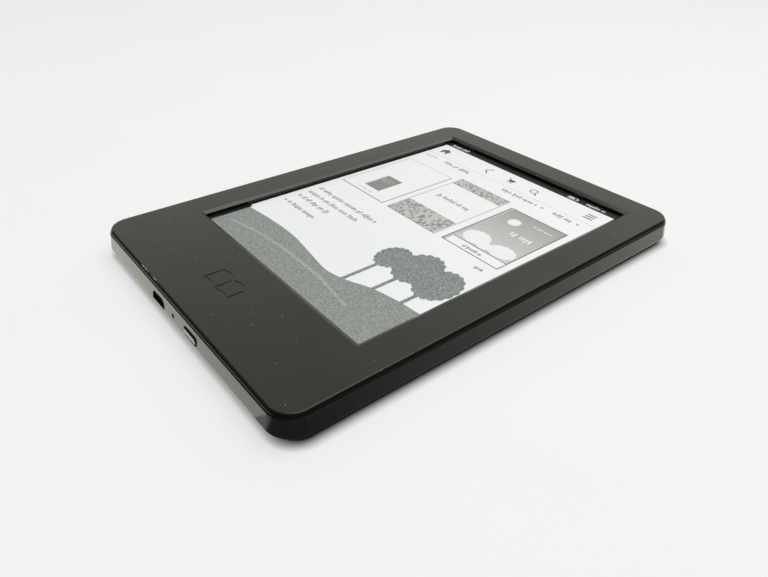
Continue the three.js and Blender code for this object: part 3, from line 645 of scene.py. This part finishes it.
def outside_shadow_outline(surface):
    """How far a point lies outside the reader's outline, less the shift of the floor's painted
    shadow.
    """
    squares = []
    for axis, half in (("X", HALF_WIDTH), ("Y", HALF_LENGTH)):
        place = surface.math("SUBTRACT", surface.along(axis), FLOOR_GLOW_AND_SHADOW["shift"][axis] * MM)
        offset = surface.math("ABSOLUTE", place)
        beyond = surface.math("SUBTRACT", offset, (half - CORNER_RADIUS) * MM)
        beyond = surface.math("MAXIMUM", beyond, 0)
        squares.append(surface.math("MULTIPLY", beyond, beyond))
    distance = surface.math("SQRT", surface.math("ADD", *squares))
    return surface.math("SUBTRACT", distance, CORNER_RADIUS * MM)


def floor_paper_with_painted_shadow():
    """White paper, lit through from below like a photographer's table, with a painted shadow round
    the reader.
    """
    surface = Surface("floor_paper_with_painted_shadow", 0.9, specular=0.0)
    surface.set("Emission Color", colour(255, 254, 254))
    start, end = FLOOR_GLOW_AND_SHADOW["band"]
    outside = outside_shadow_outline(surface)
    # painted shadow: the glow fades to none under and round the reader
    glow = surface.range(outside, start * MM, end * MM, 0, FLOOR_GLOW_AND_SHADOW["strength"])
    surface.join(glow, surface.shader.inputs["Emission Strength"])
    surface.mottle(surface.noise(60, 3), (142, 142, 144), (146, 146, 148))
    surface.relief(surface.noise(1.5, 3), 0.01)
    return surface.material


# ------ outlines

def rounded(corners, closed, steps=ROUNDING_STEPS):
    """A path through (u, v, radius) corners, each rounded by an arc of its radius."""
    path = []
    for i, (u, v, radius) in enumerate(corners):
        corner = Vector((u, v))
        is_end = not closed and i in (0, len(corners) - 1)
        if radius == 0 or is_end:
            path.append(corner)
            continue
        before = (Vector(corners[i - 1][:2]) - corner).normalized()
        after = (Vector(corners[(i + 1) % len(corners)][:2]) - corner).normalized()
        half = before.angle(after) / 2
        middle = corner + (before + after).normalized() * radius / math.sin(half)
        start = corner + before * (radius / math.tan(half)) - middle
        sweep = math.copysign(math.pi - 2 * half, before.cross(after))
        turns = [Matrix.Rotation(-sweep * step / steps, 2) for step in range(steps + 1)]
        path.extend(middle + turn @ start for turn in turns)
    return path


def rounded_box(x0, x1, y0, y1, radius, steps):
    """A rounded rectangle's points, anticlockwise."""
    corners = [(x1, y0, radius), (x1, y1, radius), (x0, y1, radius), (x0, y0, radius)]
    return rounded(corners, True, steps)


def body_ring(inset, z):
    """The reader's outline at one height, drawn in by a distance."""
    radius = max(CORNER_RADIUS - inset, SMALLEST_CORNER)
    x = HALF_WIDTH - inset
    y = HALF_LENGTH - inset
    return [(u, v, z) for u, v in rounded_box(-x, x, -y, y, radius, CORNER_STEPS)]


def window_ring(grow, z):
    """The window's outline at one height, grown by a distance."""
    x = WINDOW["half_width"] + grow
    y0, y1 = WINDOW["y"]
    radius = WINDOW["corner"] + grow / 4
    outline = rounded_box(-x, x, y0 - grow, y1 + grow, radius, CORNER_STEPS)
    return [(u, v, z) for u, v in outline]


def bezel_ring(inset, z):
    """Across the bezel's border, an inset near the window follows the window's own outline."""
    if inset < BORDER / 2:
        return body_ring(inset, z)
    return window_ring(BORDER - inset, z)


def usb_outline(x, z, width, height, cut, radius=0.25):
    """A wide foot whose upper corners are cut off."""
    left, right = x - width / 2, x + width / 2
    bottom, top = z - height / 2, z + height / 2
    cut_x, cut_z = cut
    corners = [
        (left, bottom), (right, bottom), (right, top - cut_z),
        (right - cut_x, top), (left + cut_x, top), (left, top - cut_z),
    ]
    return rounded([(u, v, radius) for u, v in corners], True)


def oblong(x, z, width, height):
    """A stadium: a bar with round ends."""
    u, v = width / 2, height / 2
    return rounded_box(x - u, x + u, z - v, z + v, v * ROUND_END, ROUND_END_STEPS)


def grown(outline, part, grow, *rest):
    """An outline of a part's own place and size, grown by a distance on every side."""
    width = part["width"] + grow * 2
    height = part["height"] + grow * 2
    return outline(part["x"], part["z"], width, height, *rest)


def circle(x, y, radius, steps=32):
    angles = [2 * math.pi * i / steps for i in range(steps)]
    return [(x + radius * math.cos(a), y + radius * math.sin(a)) for a in angles]


def rectangle(x0, x1, y0, y1):
    return [(x0, y0), (x1, y0), (x1, y1), (x0, y1)]


def ribbon(points, width):
    """The outline of a line of a given width through some points."""
    spots = [Vector(p) for p in points]
    sides = []
    for i, spot in enumerate(spots):
        run = (spots[min(i + 1, len(spots) - 1)] - spots[max(i - 1, 0)]).normalized()
        sides.append((spot, Vector((-run.y, run.x)) * width / 2))
    left = [tuple(spot + side) for spot, side in sides]
    right = [tuple(spot - side) for spot, side in sides]
    return right + left[::-1]


def smooth_line(points, steps=6):
    """A Catmull-Rom curve through some points."""
    spots = [Vector(p) for p in points]
    spots = [spots[0] * 2 - spots[1], *spots, spots[-1] * 2 - spots[-2]]
    line = []
    for a, b, c, d in zip(spots, spots[1:], spots[2:], spots[3:]):
        for step in range(steps):
            t = step / steps
            line.append(0.5 * (
                2 * b + (c - a) * t + (2 * a - 5 * b + 4 * c - d) * t**2
                + (3 * b - a - 3 * c + d) * t**3
            ))
    return [tuple(p) for p in [*line, spots[-2]]]


def arc(x, y, radius, start, end, steps=14):
    """Points on a circle between two angles in degrees."""
    angles = [math.radians(start + (end - start) * i / steps) for i in range(steps + 1)]
    return [(x + radius * math.cos(a), y + radius * math.sin(a)) for a in angles]


# ------ meshes

def mesh_of(points, faces, marks=None):
    """A closed mesh in millimetres, its faces turned outwards. marks names shares for its points."""
    mesh = bpy.data.meshes.new("mesh")
    mesh.from_pydata(points, [], faces)
    for mark, shares in (marks or {}).items():
        mesh.attributes.new(mark, "FLOAT", "POINT").data.foreach_set("value", shares)
    body = bmesh.new()
    body.from_mesh(mesh)
    bmesh.ops.recalc_face_normals(body, faces=body.faces)
    body.to_mesh(mesh)
    body.free()
    return mesh


def loft(rings, wrap=False, marks=None):
    """A closed body through rings of equal length. A wrapped one joins its last ring to its first.
    marks names a list of shares, one for each ring."""
    count = len(rings[0])
    points = [point for ring in rings for point in ring]
    faces = []
    for level in range(len(rings) if wrap else len(rings) - 1):
        low = level * count
        high = (level + 1) % len(rings) * count
        for i in range(count):
            after = (i + 1) % count
            faces.append((low + i, low + after, high + after, high + i))
    if not wrap:
        faces.append(tuple(reversed(range(count))))
        faces.append(tuple(range(len(points) - count, len(points))))
    spread = {
        mark: [share for share in shares for _ in range(count)]
        for mark, shares in (marks or {}).items()
    }
    return mesh_of(points, faces, spread)


def joined(meshes):
    """One mesh out of several."""
    points = []
    faces = []
    for mesh in meshes:
        start = len(points)
        points.extend(v.co.copy() for v in mesh.vertices)
        faces.extend(tuple(start + i for i in face.vertices) for face in mesh.polygons)
    return mesh_of(points, faces)


def raised(outline, z0, z1):
    """An anticlockwise outline in the X-Y plane, raised between two heights."""
    return loft([[(x, y, z) for x, y in outline] for z in (z0, z1)])


def along_y(levels):
    """A body through outlines in the X-Z plane. Each level is (y, outline), front first."""
    return loft([[(x, y, z) for x, z in outline] for y, outline in levels])


def block(x, y, z):
    """A box between two values on each axis."""
    return raised(rectangle(*x, *y), *z)


def combined(mesh, other, operation, crossing=False):
    """mesh with another one cut from it or joined to it. crossing says that the other one's
    bodies cross each other."""
    body = add_object("body", mesh)
    tool = add_object("tool", other)
    modifier = body.modifiers.new("combine", "BOOLEAN")
    modifier.operation = operation
    modifier.solver = "EXACT"
    modifier.material_mode = "TRANSFER"
    modifier.object = tool
    modifier.use_self = crossing
    evaluated = body.evaluated_get(bpy.context.evaluated_depsgraph_get())
    result = bpy.data.meshes.new_from_object(evaluated)
    bpy.data.objects.remove(body)
    bpy.data.objects.remove(tool)
    return result


def add_piece(name, mesh, material, body="root", replaces=(), sharp=32):
    """A finished piece in metres: smooth across its roundings, and flat where it is flat."""
    mesh.name = name
    mesh.transform(Matrix.Scale(MM, 4))
    if not mesh.materials:
        mesh.materials.append(material)
    mesh.shade_smooth()
    mesh.set_sharp_from_angle(angle=math.radians(sharp))
    piece = add_object(name, mesh)
    normals = piece.modifiers.new("flat faces", "WEIGHTED_NORMAL")
    normals.keep_sharp = True
    normals.weight = 100
    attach(piece, body)
    if replaces:
        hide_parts(*replaces)


# ------ shells

def hooks(tip, root, z, length):
    """One block for each snap hook, between two insets from the reader's outline."""
    half = length / 2
    x = (HALF_WIDTH - root, HALF_WIDTH - tip)
    y = (HALF_LENGTH - root, HALF_LENGTH - tip)
    blocks = []
    for middle in SIDE_HOOKS_Y:
        span = (middle - half, middle + half)
        blocks += [block(x, span, z), block((-x[1], -x[0]), span, z)]
    for middle in END_HOOKS_X:
        span = (middle - half, middle + half)
        blocks += [block(span, y, z), block(span, (-y[1], -y[0]), z)]
    return joined(blocks)


def flared_mouth(outline_of):
    """A cutter through the bottom wall. outline_of gives its outline, grown by a distance."""
    return along_y([
        (FRONT_EDGE_Y - OVERSHOOT, outline_of(MOUTH_FLARE * 3)),
        (MOUTH_FACE_Y, outline_of(MOUTH_FLARE)),
        (MOUTH_FACE_Y + MOUTH_FLARE, outline_of(0)),
        (FRONT_EDGE_Y + WALL_REACH, outline_of(0)),
    ])


def usb_mouth():
    return flared_mouth(lambda grow: grown(usb_outline, USB_MOUTH, grow, USB_MOUTH["cut"]))


def button_slot():
    return flared_mouth(lambda grow: grown(oblong, BUTTON_SLOT, grow))


def status_hole():
    hole = STATUS_HOLE
    return flared_mouth(lambda grow: circle(hole["x"], hole["z"], hole["radius"] + grow / 3))


def add_rear_cover(material, recess):
    """The tray, with its rounded outer edges, ribs and recesses for the snap hooks. The walls of
    its openings are painted near black, as shade."""
    path = rounded(COVER_PATH, False)
    lower, upper = COVER_PAINTED_HIGHLIGHT_Z
    highlight_and_wear = [1.0 if lower[0] < z < lower[1] or z > upper else 0.0 for _, z in path]
    tray = loft([body_ring(inset, z) for inset, z in path], marks={"highlight_and_wear": highlight_and_wear})
    half_gap = HOOK["clearance"] / 2
    recesses = hooks(
        HOOK["tip"] - half_gap, LIP["outer"] + OVERSHOOT,
        (HOOK["z"][0] - half_gap, HOOK["z"][1] + half_gap), HOOK["length"] + HOOK["clearance"] * 2,
    )
    mouths = joined([usb_mouth(), button_slot(), status_hole()])
    half = COVER_RIBS["width"] / 2
    span = COVER_RIBS["half_length"]
    ribs = joined([
        block((-span, span), (y - half, y + half), COVER_RIBS["z"]) for y in COVER_RIBS["y"]
    ])
    for mesh in (tray, recesses, ribs):
        mesh.materials.append(material)
    # the openings' walls get the recess finish, painted near black as shade
    mouths.materials.append(recess)
    for cutter in (recesses, mouths):
        tray = combined(tray, cutter, "DIFFERENCE")
    tray = combined(tray, ribs, "UNION")
    add_piece("rear_cover_shell", tray, material, replaces=["rear_cover"])


def emblem_cutter(material):
    """An open book in outline: two pages, a spine and a line under each page."""
    x, y = EMBLEM["x"], EMBLEM["y"]
    half, height, groove = EMBLEM["half_width"], EMBLEM["height"], EMBLEM["groove"]
    top = y + height / 2
    spine_top = top - EMBLEM["dip"]
    spine_bottom = top - height + 0.05
    lines = []
    for side in (-1, 1):
        page_top = smooth_line([
            (x, spine_top), (x + side * half * 0.35, top), (x + side * half * 0.7, top + 0.1),
            (x + side * half, top - 0.35),
        ])
        page_bottom = [(u, v - height + EMBLEM["dip"]) for u, v in page_top]
        edge = [page_top[-1], page_bottom[-1]]
        lines += [ribbon(line, groove) for line in (page_top, page_bottom, edge)]
    lines.append(ribbon([(x, spine_top), (x, spine_bottom)], groove))
    floor_z = THICKNESS - EMBLEM["depth"]
    cutter = joined([raised(line, floor_z, THICKNESS + OVERSHOOT) for line in lines])
    cutter.materials.append(material)
    return cutter


def add_front_bezel(material, gloss):
    """The frame with its lip, snap hooks and screw bosses, and the emblem pressed into its chin."""
    path = rounded(BEZEL_PATH, True)
    foot_z, shoulder_z = BEZEL_SIDE
    window_z = THICKNESS - WINDOW_CHAMFER["depth"]
    marks = {"highlight_and_wear": [], "shade": []}
    # Painted highlight on the outer foot; painted shade on the outer side and on the window's inner
    # wall.
    for inset, z in path:
        outside = inset < LIP["outer"]
        in_window = inset > BORDER - 0.2 and z < window_z
        marks["highlight_and_wear"].append(1.0 if outside and z < foot_z else 0.0)
        marks["shade"].append(1.0 if in_window or (outside and z < shoulder_z) else 0.0)
    ring = loft([bezel_ring(inset, z) for inset, z in path], wrap=True, marks=marks)
    lip_hooks = hooks(HOOK["tip"], HOOK["root"], HOOK["z"], HOOK["length"])
    bosses = [raised(circle(x, y, BOSS["radius"]), *BOSS["z"]) for x, y in FRAME_SCREWS]
    bore_z = (BOSS["z"][0] - OVERSHOOT, BOSS["bore_top_z"])
    bores = joined([raised(circle(x, y, BOSS["bore"]), *bore_z) for x, y in FRAME_SCREWS])
    added = joined([lip_hooks, *bosses])
    for mesh in (ring, bores, added):
        mesh.materials.append(material)
    ring = combined(combined(ring, added, "UNION"), bores, "DIFFERENCE")
    ring = combined(ring, emblem_cutter(gloss), "DIFFERENCE", crossing=True)
    add_piece("front_bezel_frame", ring, material, replaces=["front_bezel"])


# ------ parts of the bottom edge

def add_power_button(material):
    """The crowned cap, the flange that keeps it in and the nub that meets the switch."""
    cap = BUTTON_CAP
    front, back = cap["y"]
    crown_inset, crown_depth = cap["crown"]
    levels = []
    marks = {"highlight_and_wear": [], "shade": []}

    def add_level(y, inset, highlight_and_wear, shade):
        levels.append([(x, y, z) for x, z in grown(oblong, cap, -inset)])
        marks["highlight_and_wear"].append(highlight_and_wear)
        marks["shade"].append(shade)

    # The crown's rounding carries a painted highlight and its face a weaker one; its flank and back
    # carry painted shade.
    for step in range(ROUNDING_STEPS + 1):
        angle = math.pi / 2 * step / ROUNDING_STEPS
        y = front + crown_depth * (1 - math.cos(angle))
        on_rounding = 0 < step < ROUNDING_STEPS
        highlight_and_wear = 1.0 if on_rounding else cap["painted_highlight_face"]
        shade = 1.0 if step == ROUNDING_STEPS else 0.0
        add_level(y, crown_inset * (1 - math.sin(angle)), highlight_and_wear, shade)
    add_level(back, 0, 0.0, 1.0)
    body = loft(levels, marks=marks)
    keepers = joined([block(**part) for part in (BUTTON_FLANGE, BUTTON_NUB)])
    for mesh in (body, keepers):
        mesh.materials.append(material)
    body = combined(body, keepers, "UNION", crossing=True)
    add_piece(
        "power_button_cap", body, material, body="button", replaces=["power_button"],
    )


def add_usb_shell(material):
    """The rolled metal sleeve of the USB socket, closed behind."""
    shell = USB_SHELL
    front, back = shell["y"]
    wall = shell["wall"]
    outer_lip, inner_lip = shell["lip"]

    def outline(shrink):
        return grown(usb_outline, shell, -shrink, shell["cut"], shell["corner"] - shrink * 0.6)

    levels = [
        (back, outline(0)), (front + outer_lip, outline(0)), (front, outline(outer_lip)),
        (front, outline(wall - 0.1)), (front + inner_lip, outline(wall)),
        (back - wall, outline(wall)),
    ]
    add_piece("usb_sleeve", along_y(levels), material, replaces=["usb_shell"])


# ------ the picture on the page

class Page:
    """The picture's inks, and the seeded draws that its words and tiles follow."""

    def __init__(self):
        self.draw = random.Random(6)
        self.inks = {name: ink("ink_" + name, *tones) for name, tones in INKS.items()}
        self.inks["sky"] = sky_ink()

    def lay(self, name, outlines, tone, layer=0):
        """Lays closed flat prints of one ink. A higher layer lies on a lower one."""
        bottom = PAPER_Z + layer * INK
        prints = [raised(outline, bottom, bottom + INK) for outline in outlines]
        add_piece(name, joined(prints), self.inks[tone], sharp=20)

    def words(self, x0, x1, y, height):
        """Small blocks that stand in for a line of words."""
        marks = []
        x = x0
        while x < x1:
            for _ in range(self.draw.randint(*WORDS["letters"])):
                width = self.draw.uniform(*WORDS["widths"]) * WORDS["width"] * height
                if x + width > x1:
                    break
                rise = self.draw.choice(WORDS["rises"])
                drop = self.draw.choice(WORDS["drops"])
                stroke = width * WORDS["inked"]
                marks.append(rectangle(x, x + stroke, y - drop * height, y + rise * height))
                x += width + WORDS["gap"] * height
            x += WORDS["space"] * height
        return marks


def box_lines(x0, x1, y0, y1, width=HAIRLINE):
    """The four lines of a frame."""
    return [
        rectangle(x0, x1, y0, y0 + width),
        rectangle(x0, x1, y1 - width, y1),
        rectangle(x0, x0 + width, y0 + width, y1 - width),
        rectangle(x1 - width, x1, y0 + width, y1 - width),
    ]


def home_icon(x, y):
    roof = [(x - 2.7, y - 0.1), (x + 2.7, y - 0.1), (x, y + 2.4)]
    walls = [
        rectangle(x - 1.9, x - 0.6, y - 2.2, y - 0.1),
        rectangle(x + 0.6, x + 1.9, y - 2.2, y - 0.1),
        rectangle(x - 0.6, x + 0.6, y - 0.9, y - 0.1),
    ]
    return [roof, *walls]


def chevron_icon(x, y):
    return [ribbon([(x + 1.2, y + 2.4), (x - 1.2, y), (x + 1.2, y - 2.4)], 0.6)]


def cart_icon(x, y):
    basket = [(x - 1.3, y + 1.2), (x - 0.8, y - 0.8), (x + 1.4, y - 0.8), (x + 2.0, y + 1.2)]
    handle = ribbon([(x - 2.2, y + 1.9), (x - 1.5, y + 1.9), (x - 1.1, y + 0.9)], 0.4)
    wheels = [circle(x - 0.4, y - 1.6, 0.42, 12), circle(x + 1.1, y - 1.6, 0.42, 12)]
    return [basket, handle, *wheels]


def search_icon(x, y):
    lens = [ribbon(arc(x, y, 1.55, start, start + 180), 0.42) for start in (0, 180)]
    return [*lens, ribbon([(x + 1.15, y - 1.15), (x + 2.6, y - 2.5)], 0.55)]


def menu_icon(x, y):
    return [rectangle(x - 2, x + 2, y + rise - 0.3, y + rise + 0.3) for rise in (-1.6, 0, 1.6)]


def down_mark(x, y):
    half, rise = 0.8, 0.48
    return [(x - half, y + rise), (x, y - rise), (x + half, y + rise)]


def battery_sign(x, y):
    """A battery in outline, with its charge and its tip."""
    charge = rectangle(x + 0.5, x + 2.9, y + 0.5, y + 1.3)
    tip = rectangle(x + 4.4, x + 4.8, y + 0.5, y + 1.3)
    return [*box_lines(x, x + 4.3, y, y + 1.8, 0.25), charge, tip]


def status_bar(page):
    x = WINDOW["half_width"]
    top = WINDOW["y"][1]
    page.lay("page_status_bar", [rectangle(-x, x, top - STATUS_BAR, top + UNDER_BEZEL)], "black")
    y = 68.4
    marks = page.words(-42.3, -31.9, y, 1.3) + battery_sign(22.3, y - 0.2)
    marks += page.words(31.0, 40.0, y, 1.3)
    page.lay("page_status_marks", marks, "white", 1)


def toolbar(page):
    """A row of icons over a dotted line."""
    y = 61.3
    icons = home_icon(-39.1, y) + chevron_icon(-13.4, y) + cart_icon(-0.75, y)
    icons += search_icon(11.5, y) + menu_icon(38, y)
    page.lay("page_icons", icons, "dark")
    dots = [rectangle(x, x + 0.5, 55.9, 56.1) for x in range(-44, 45)]
    page.lay("page_divider", dots, "middle")


def filter_row(page):
    """A row of words, two of them with a mark that opens a list."""
    y = 51.8
    page.lay("page_heading_faint", page.words(-41.9, -34.4, y, 1.4), "light")
    words = page.words(-30.6, -15.3, y, 1.5)
    words += page.words(2.5, 20.6, y, 1.5) + [down_mark(22.5, y + 0.7)]
    words += page.words(27.8, 37.1, y, 1.5) + [down_mark(38.9, y + 0.7)]
    page.lay("page_heading", words, "text")


def plain_cover(page):
    """A nearly empty card with a small grey book on it."""
    page.lay("card_left_frame", box_lines(*LEFT_CARD), "light")
    x0, x1, y0, y1 = LEFT_CARD
    shade = [
        rectangle(x0 + 0.25, x1 + 0.2, y0 - 0.3, y0), rectangle(x1, x1 + 0.3, y0, y1 - 0.2),
    ]
    page.lay("card_left_shade", shade, "middle")
    page.lay("small_book", [rectangle(*SMALL_BOOK)], "middle")
    x0, x1, y0, y1 = SMALL_BOOK
    lines = page.words(-33.6, -26.9, 20.6, 0.8) + page.words(-33.0, -27.5, 18.7, 0.8)
    lines += [rectangle(x0, x0 + 0.6, y0, y1)]
    page.lay("small_book_lines", lines, "light", 1)
    page.lay("small_book_caption", page.words(-34.5, -26, 8.4, 0.8), "light")


def mosaic_cover(page):
    """A card whose top and bottom are bands of small grey tiles."""
    page.lay("card_middle_frame", box_lines(*MIDDLE_CARD, 0.2), "dark")
    tiles = {"middle": [], "soft": [], "light": []}
    pitch = MOSAIC["pitch"]
    for x_step in range(MOSAIC["columns"]):
        for y0, rows in MOSAIC["bands"]:
            for y_step in range(rows):
                x = MOSAIC["left"] + x_step * pitch
                y = y0 + y_step * pitch
                tone = page.draw.choice(("middle", "soft", "light", "light", "light"))
                tiles[tone].append(rectangle(x, x + pitch, y, y + pitch))
    for tone, outlines in tiles.items():
        page.lay("card_middle_tiles_" + tone, outlines, tone, 1)
    page.lay("card_middle_words", page.words(-9.4, 7.25, 27.7, 1.6), "text")


def scalloped(x, y, half_width, half_height, bumps):
    """An oval whose rim is a row of round bumps."""
    steps = bumps * 6
    outline = []
    for i in range(steps):
        angle = 2 * math.pi * i / steps
        swell = 0.92 + 0.08 * abs(math.sin(angle * bumps / 2))
        outline.append((
            x + half_width * swell * math.cos(angle), y + half_height * swell * math.sin(angle)
        ))
    return outline


def picture_cover(page):
    """A card with a grey sky, clouds and a pale sun."""
    line = 0.34
    page.lay("card_right_frame", box_lines(*RIGHT_CARD, line), "black")
    x0, x1, y0, _ = SKY
    strip_left = RIGHT_CARD[0] + line
    strip = [rectangle(strip_left, x0, y / 2, y / 2 + 0.26) for y in range(14, 86)]
    page.lay("card_right_strip", strip, "middle")
    page.lay("card_right_sky", [rectangle(*SKY)], "sky")
    page.lay("card_right_rule", [rectangle(x0, x1, y0 - 0.3, y0)], "dark")
    clouds = [scalloped(23.2, 16.6, 5.6, 4.6, 13), scalloped(35.4, 15.9, 5.4, 4.0, 12)]
    page.lay("card_right_clouds", clouds, "white", 1)
    clouds = [scalloped(28.8, 14.2, 3.4, 2.4, 9), scalloped(24.0, 35.2, 2.6, 2.6, 24)]
    page.lay("card_right_puffs", clouds, "white", 2)
    words = page.words(28.4, 39.6, 27.4, 2.2) + page.words(30.4, 38.4, 38.0, 0.9)
    page.lay("card_right_title", words, "white", 1)
    page.lay("card_right_caption", page.words(24.1, 32.75, 8.2, 1.1), "dark")
    page.lay("page_mark", page.words(36.25, 40.25, 1.6, 1.3), "dark")


def landscape(page):
    """A dark hill across the foot of the page, with a path and a grove of round trees."""
    edge = WINDOW["half_width"] + UNDER_BEZEL
    foot = WINDOW["y"][0] - UNDER_BEZEL
    crest = smooth_line([(-edge, CREST_ENDS[0]), *CREST, (edge, CREST_ENDS[1])])
    hill = [(edge, foot), *crest[::-1], (-edge, foot)]
    page.lay("page_hill", [hill], "hill")
    shore = crest[0][1] + 1.4  # up to here the dark strip along the page's left edge is wider
    left_dark_strip = [
        rectangle(-edge, PICTURE_LEFT, foot, shore),
        rectangle(-edge, PAGE_LEFT, shore, WINDOW["y"][1] - STATUS_BAR),
    ]
    page.lay("page_left_dark_strip", left_dark_strip, "black", 1)
    page.lay("page_path", [ribbon(smooth_line(PATH), 1.1)], "soft", 1)
    for number, (x, y, half_width, half_height) in enumerate(TREES, 1):
        ground = min(crest, key=lambda point: abs(point[0] - x))[1]
        trunk = rectangle(
            x - TRUNK_HALF_WIDTH, x + TRUNK_HALF_WIDTH, ground - 0.5, y - half_height * 0.7
        )
        page.lay(f"page_trunk_{number}", [trunk], "leaves", 1)
        crown = scalloped(x, y, half_width, half_height, 17)
        page.lay(f"page_crown_{number}", [crown], "leaves", 1 + number)


def body_text(page):
    """Four lines of words, the last one behind an arrow."""
    lines = [
        (-41.5, -6.25, -6.0), (-41.5, -11, -10.9), (-41.5, -22.25, -15.8), (-39.2, -21.25, -22.0),
    ]
    words = []
    for x0, x1, y in lines:
        words += page.words(x0, x1, y, 1.5)
    words.append([(-41.5, -21.9), (-40.4, -21.2), (-41.5, -20.5)])
    page.lay("page_words", words, "text")


def add_page():
    """Every print on the page. The order matters, as the parts share one row of draws."""
    page = Page()
    for part in (
        status_bar, toolbar, filter_row, plain_cover, mosaic_cover, picture_cover, landscape,
        body_text,
    ):
        part(page)


# ------ CAD nodes that stay

def cad_finishes():
    """Each finish, and the CAD nodes that it is for."""
    chassis_metal = metal("chassis_metal", (128, 131, 133), (154, 157, 159), 0.34, 0.52, (8, 1, 1))
    plated_metal = metal("plated_metal", (176, 178, 180), (202, 204, 206), 0.2, 0.38, (1, 6, 1))
    return [
        (chassis_metal, ["chassis"]),
        (panel_glass(), ["display_panel"]),
        (paper_film(), ["display_front_film"]),
        (dark_optic(), ["ir_light_guide"]),
        (clear_optic(), ["ir_emitters_left", "ir_emitters_bottom", "status_led"]),
        (smoked_optic(), ["light_pipe"]),
        (pouch_foil(), ["battery_cell"]),
        (cable_jacket(), ["battery_lead", "antenna_cable"]),
        (flex_film(), ["display_flex", "touch_flex"]),
        (adhesive(), ["display_tape_left", "display_tape_right", "battery_adhesive"]),
        (circuit_board(), ["ir_touch_board", "main_board", "battery_protection_board"]),
        (connector_plastic(), [
            "display_connector", "touch_connector", "battery_plug", "battery_socket",
        ]),
        (chip_plastic(), [
            "display_driver_chip", "ir_sensors_right", "ir_sensors_top", "processor",
            "memory_chip", "storage_chip", "power_chip", "display_power_chip", "inductor_1",
            "inductor_2", "usb_tongue", "switch_plunger",
        ]),
        (plated_metal, ["processor_shield", "wifi_module", "crystal", "antenna", "switch_housing"]),
    ]


def dress_nodes():
    """Gives every CAD node that is still shown its finish."""
    steel = metal("screw_steel", (104, 106, 108), (136, 138, 140), 0.26, 0.42, (1, 1, 1))
    finish_of = {name: finish for finish, names in cad_finishes() for name in names}
    for name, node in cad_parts.items():
        if node.hide_render:
            continue
        finish = steel if "_screw_" in name else finish_of[name]
        node.data.materials.clear()
        node.data.materials.append(finish)


# ------ scene

def add_floor():
    half = FLOOR["half_width"]
    mesh = raised(rectangle(-half, half, -half, half), *FLOOR["z"])
    mesh.transform(Matrix.Scale(MM, 4))
    mesh.materials.append(floor_paper_with_painted_shadow())
    add_object("floor", mesh)


add_camera()
add_studio()
add_floor()
add_rear_cover(cover_plastic(), shaded_recess_plastic())
add_front_bezel(bezel_plastic(), emblem_gloss())
add_power_button(button_plastic())
# The sleeve's metal is painted darker than the other metals, as shade deep in the socket.
add_usb_shell(metal("shaded_sleeve_metal", (60, 60, 62), (84, 84, 86), 0.3, 0.45, (1, 6, 1)))
add_page()
dress_nodes()
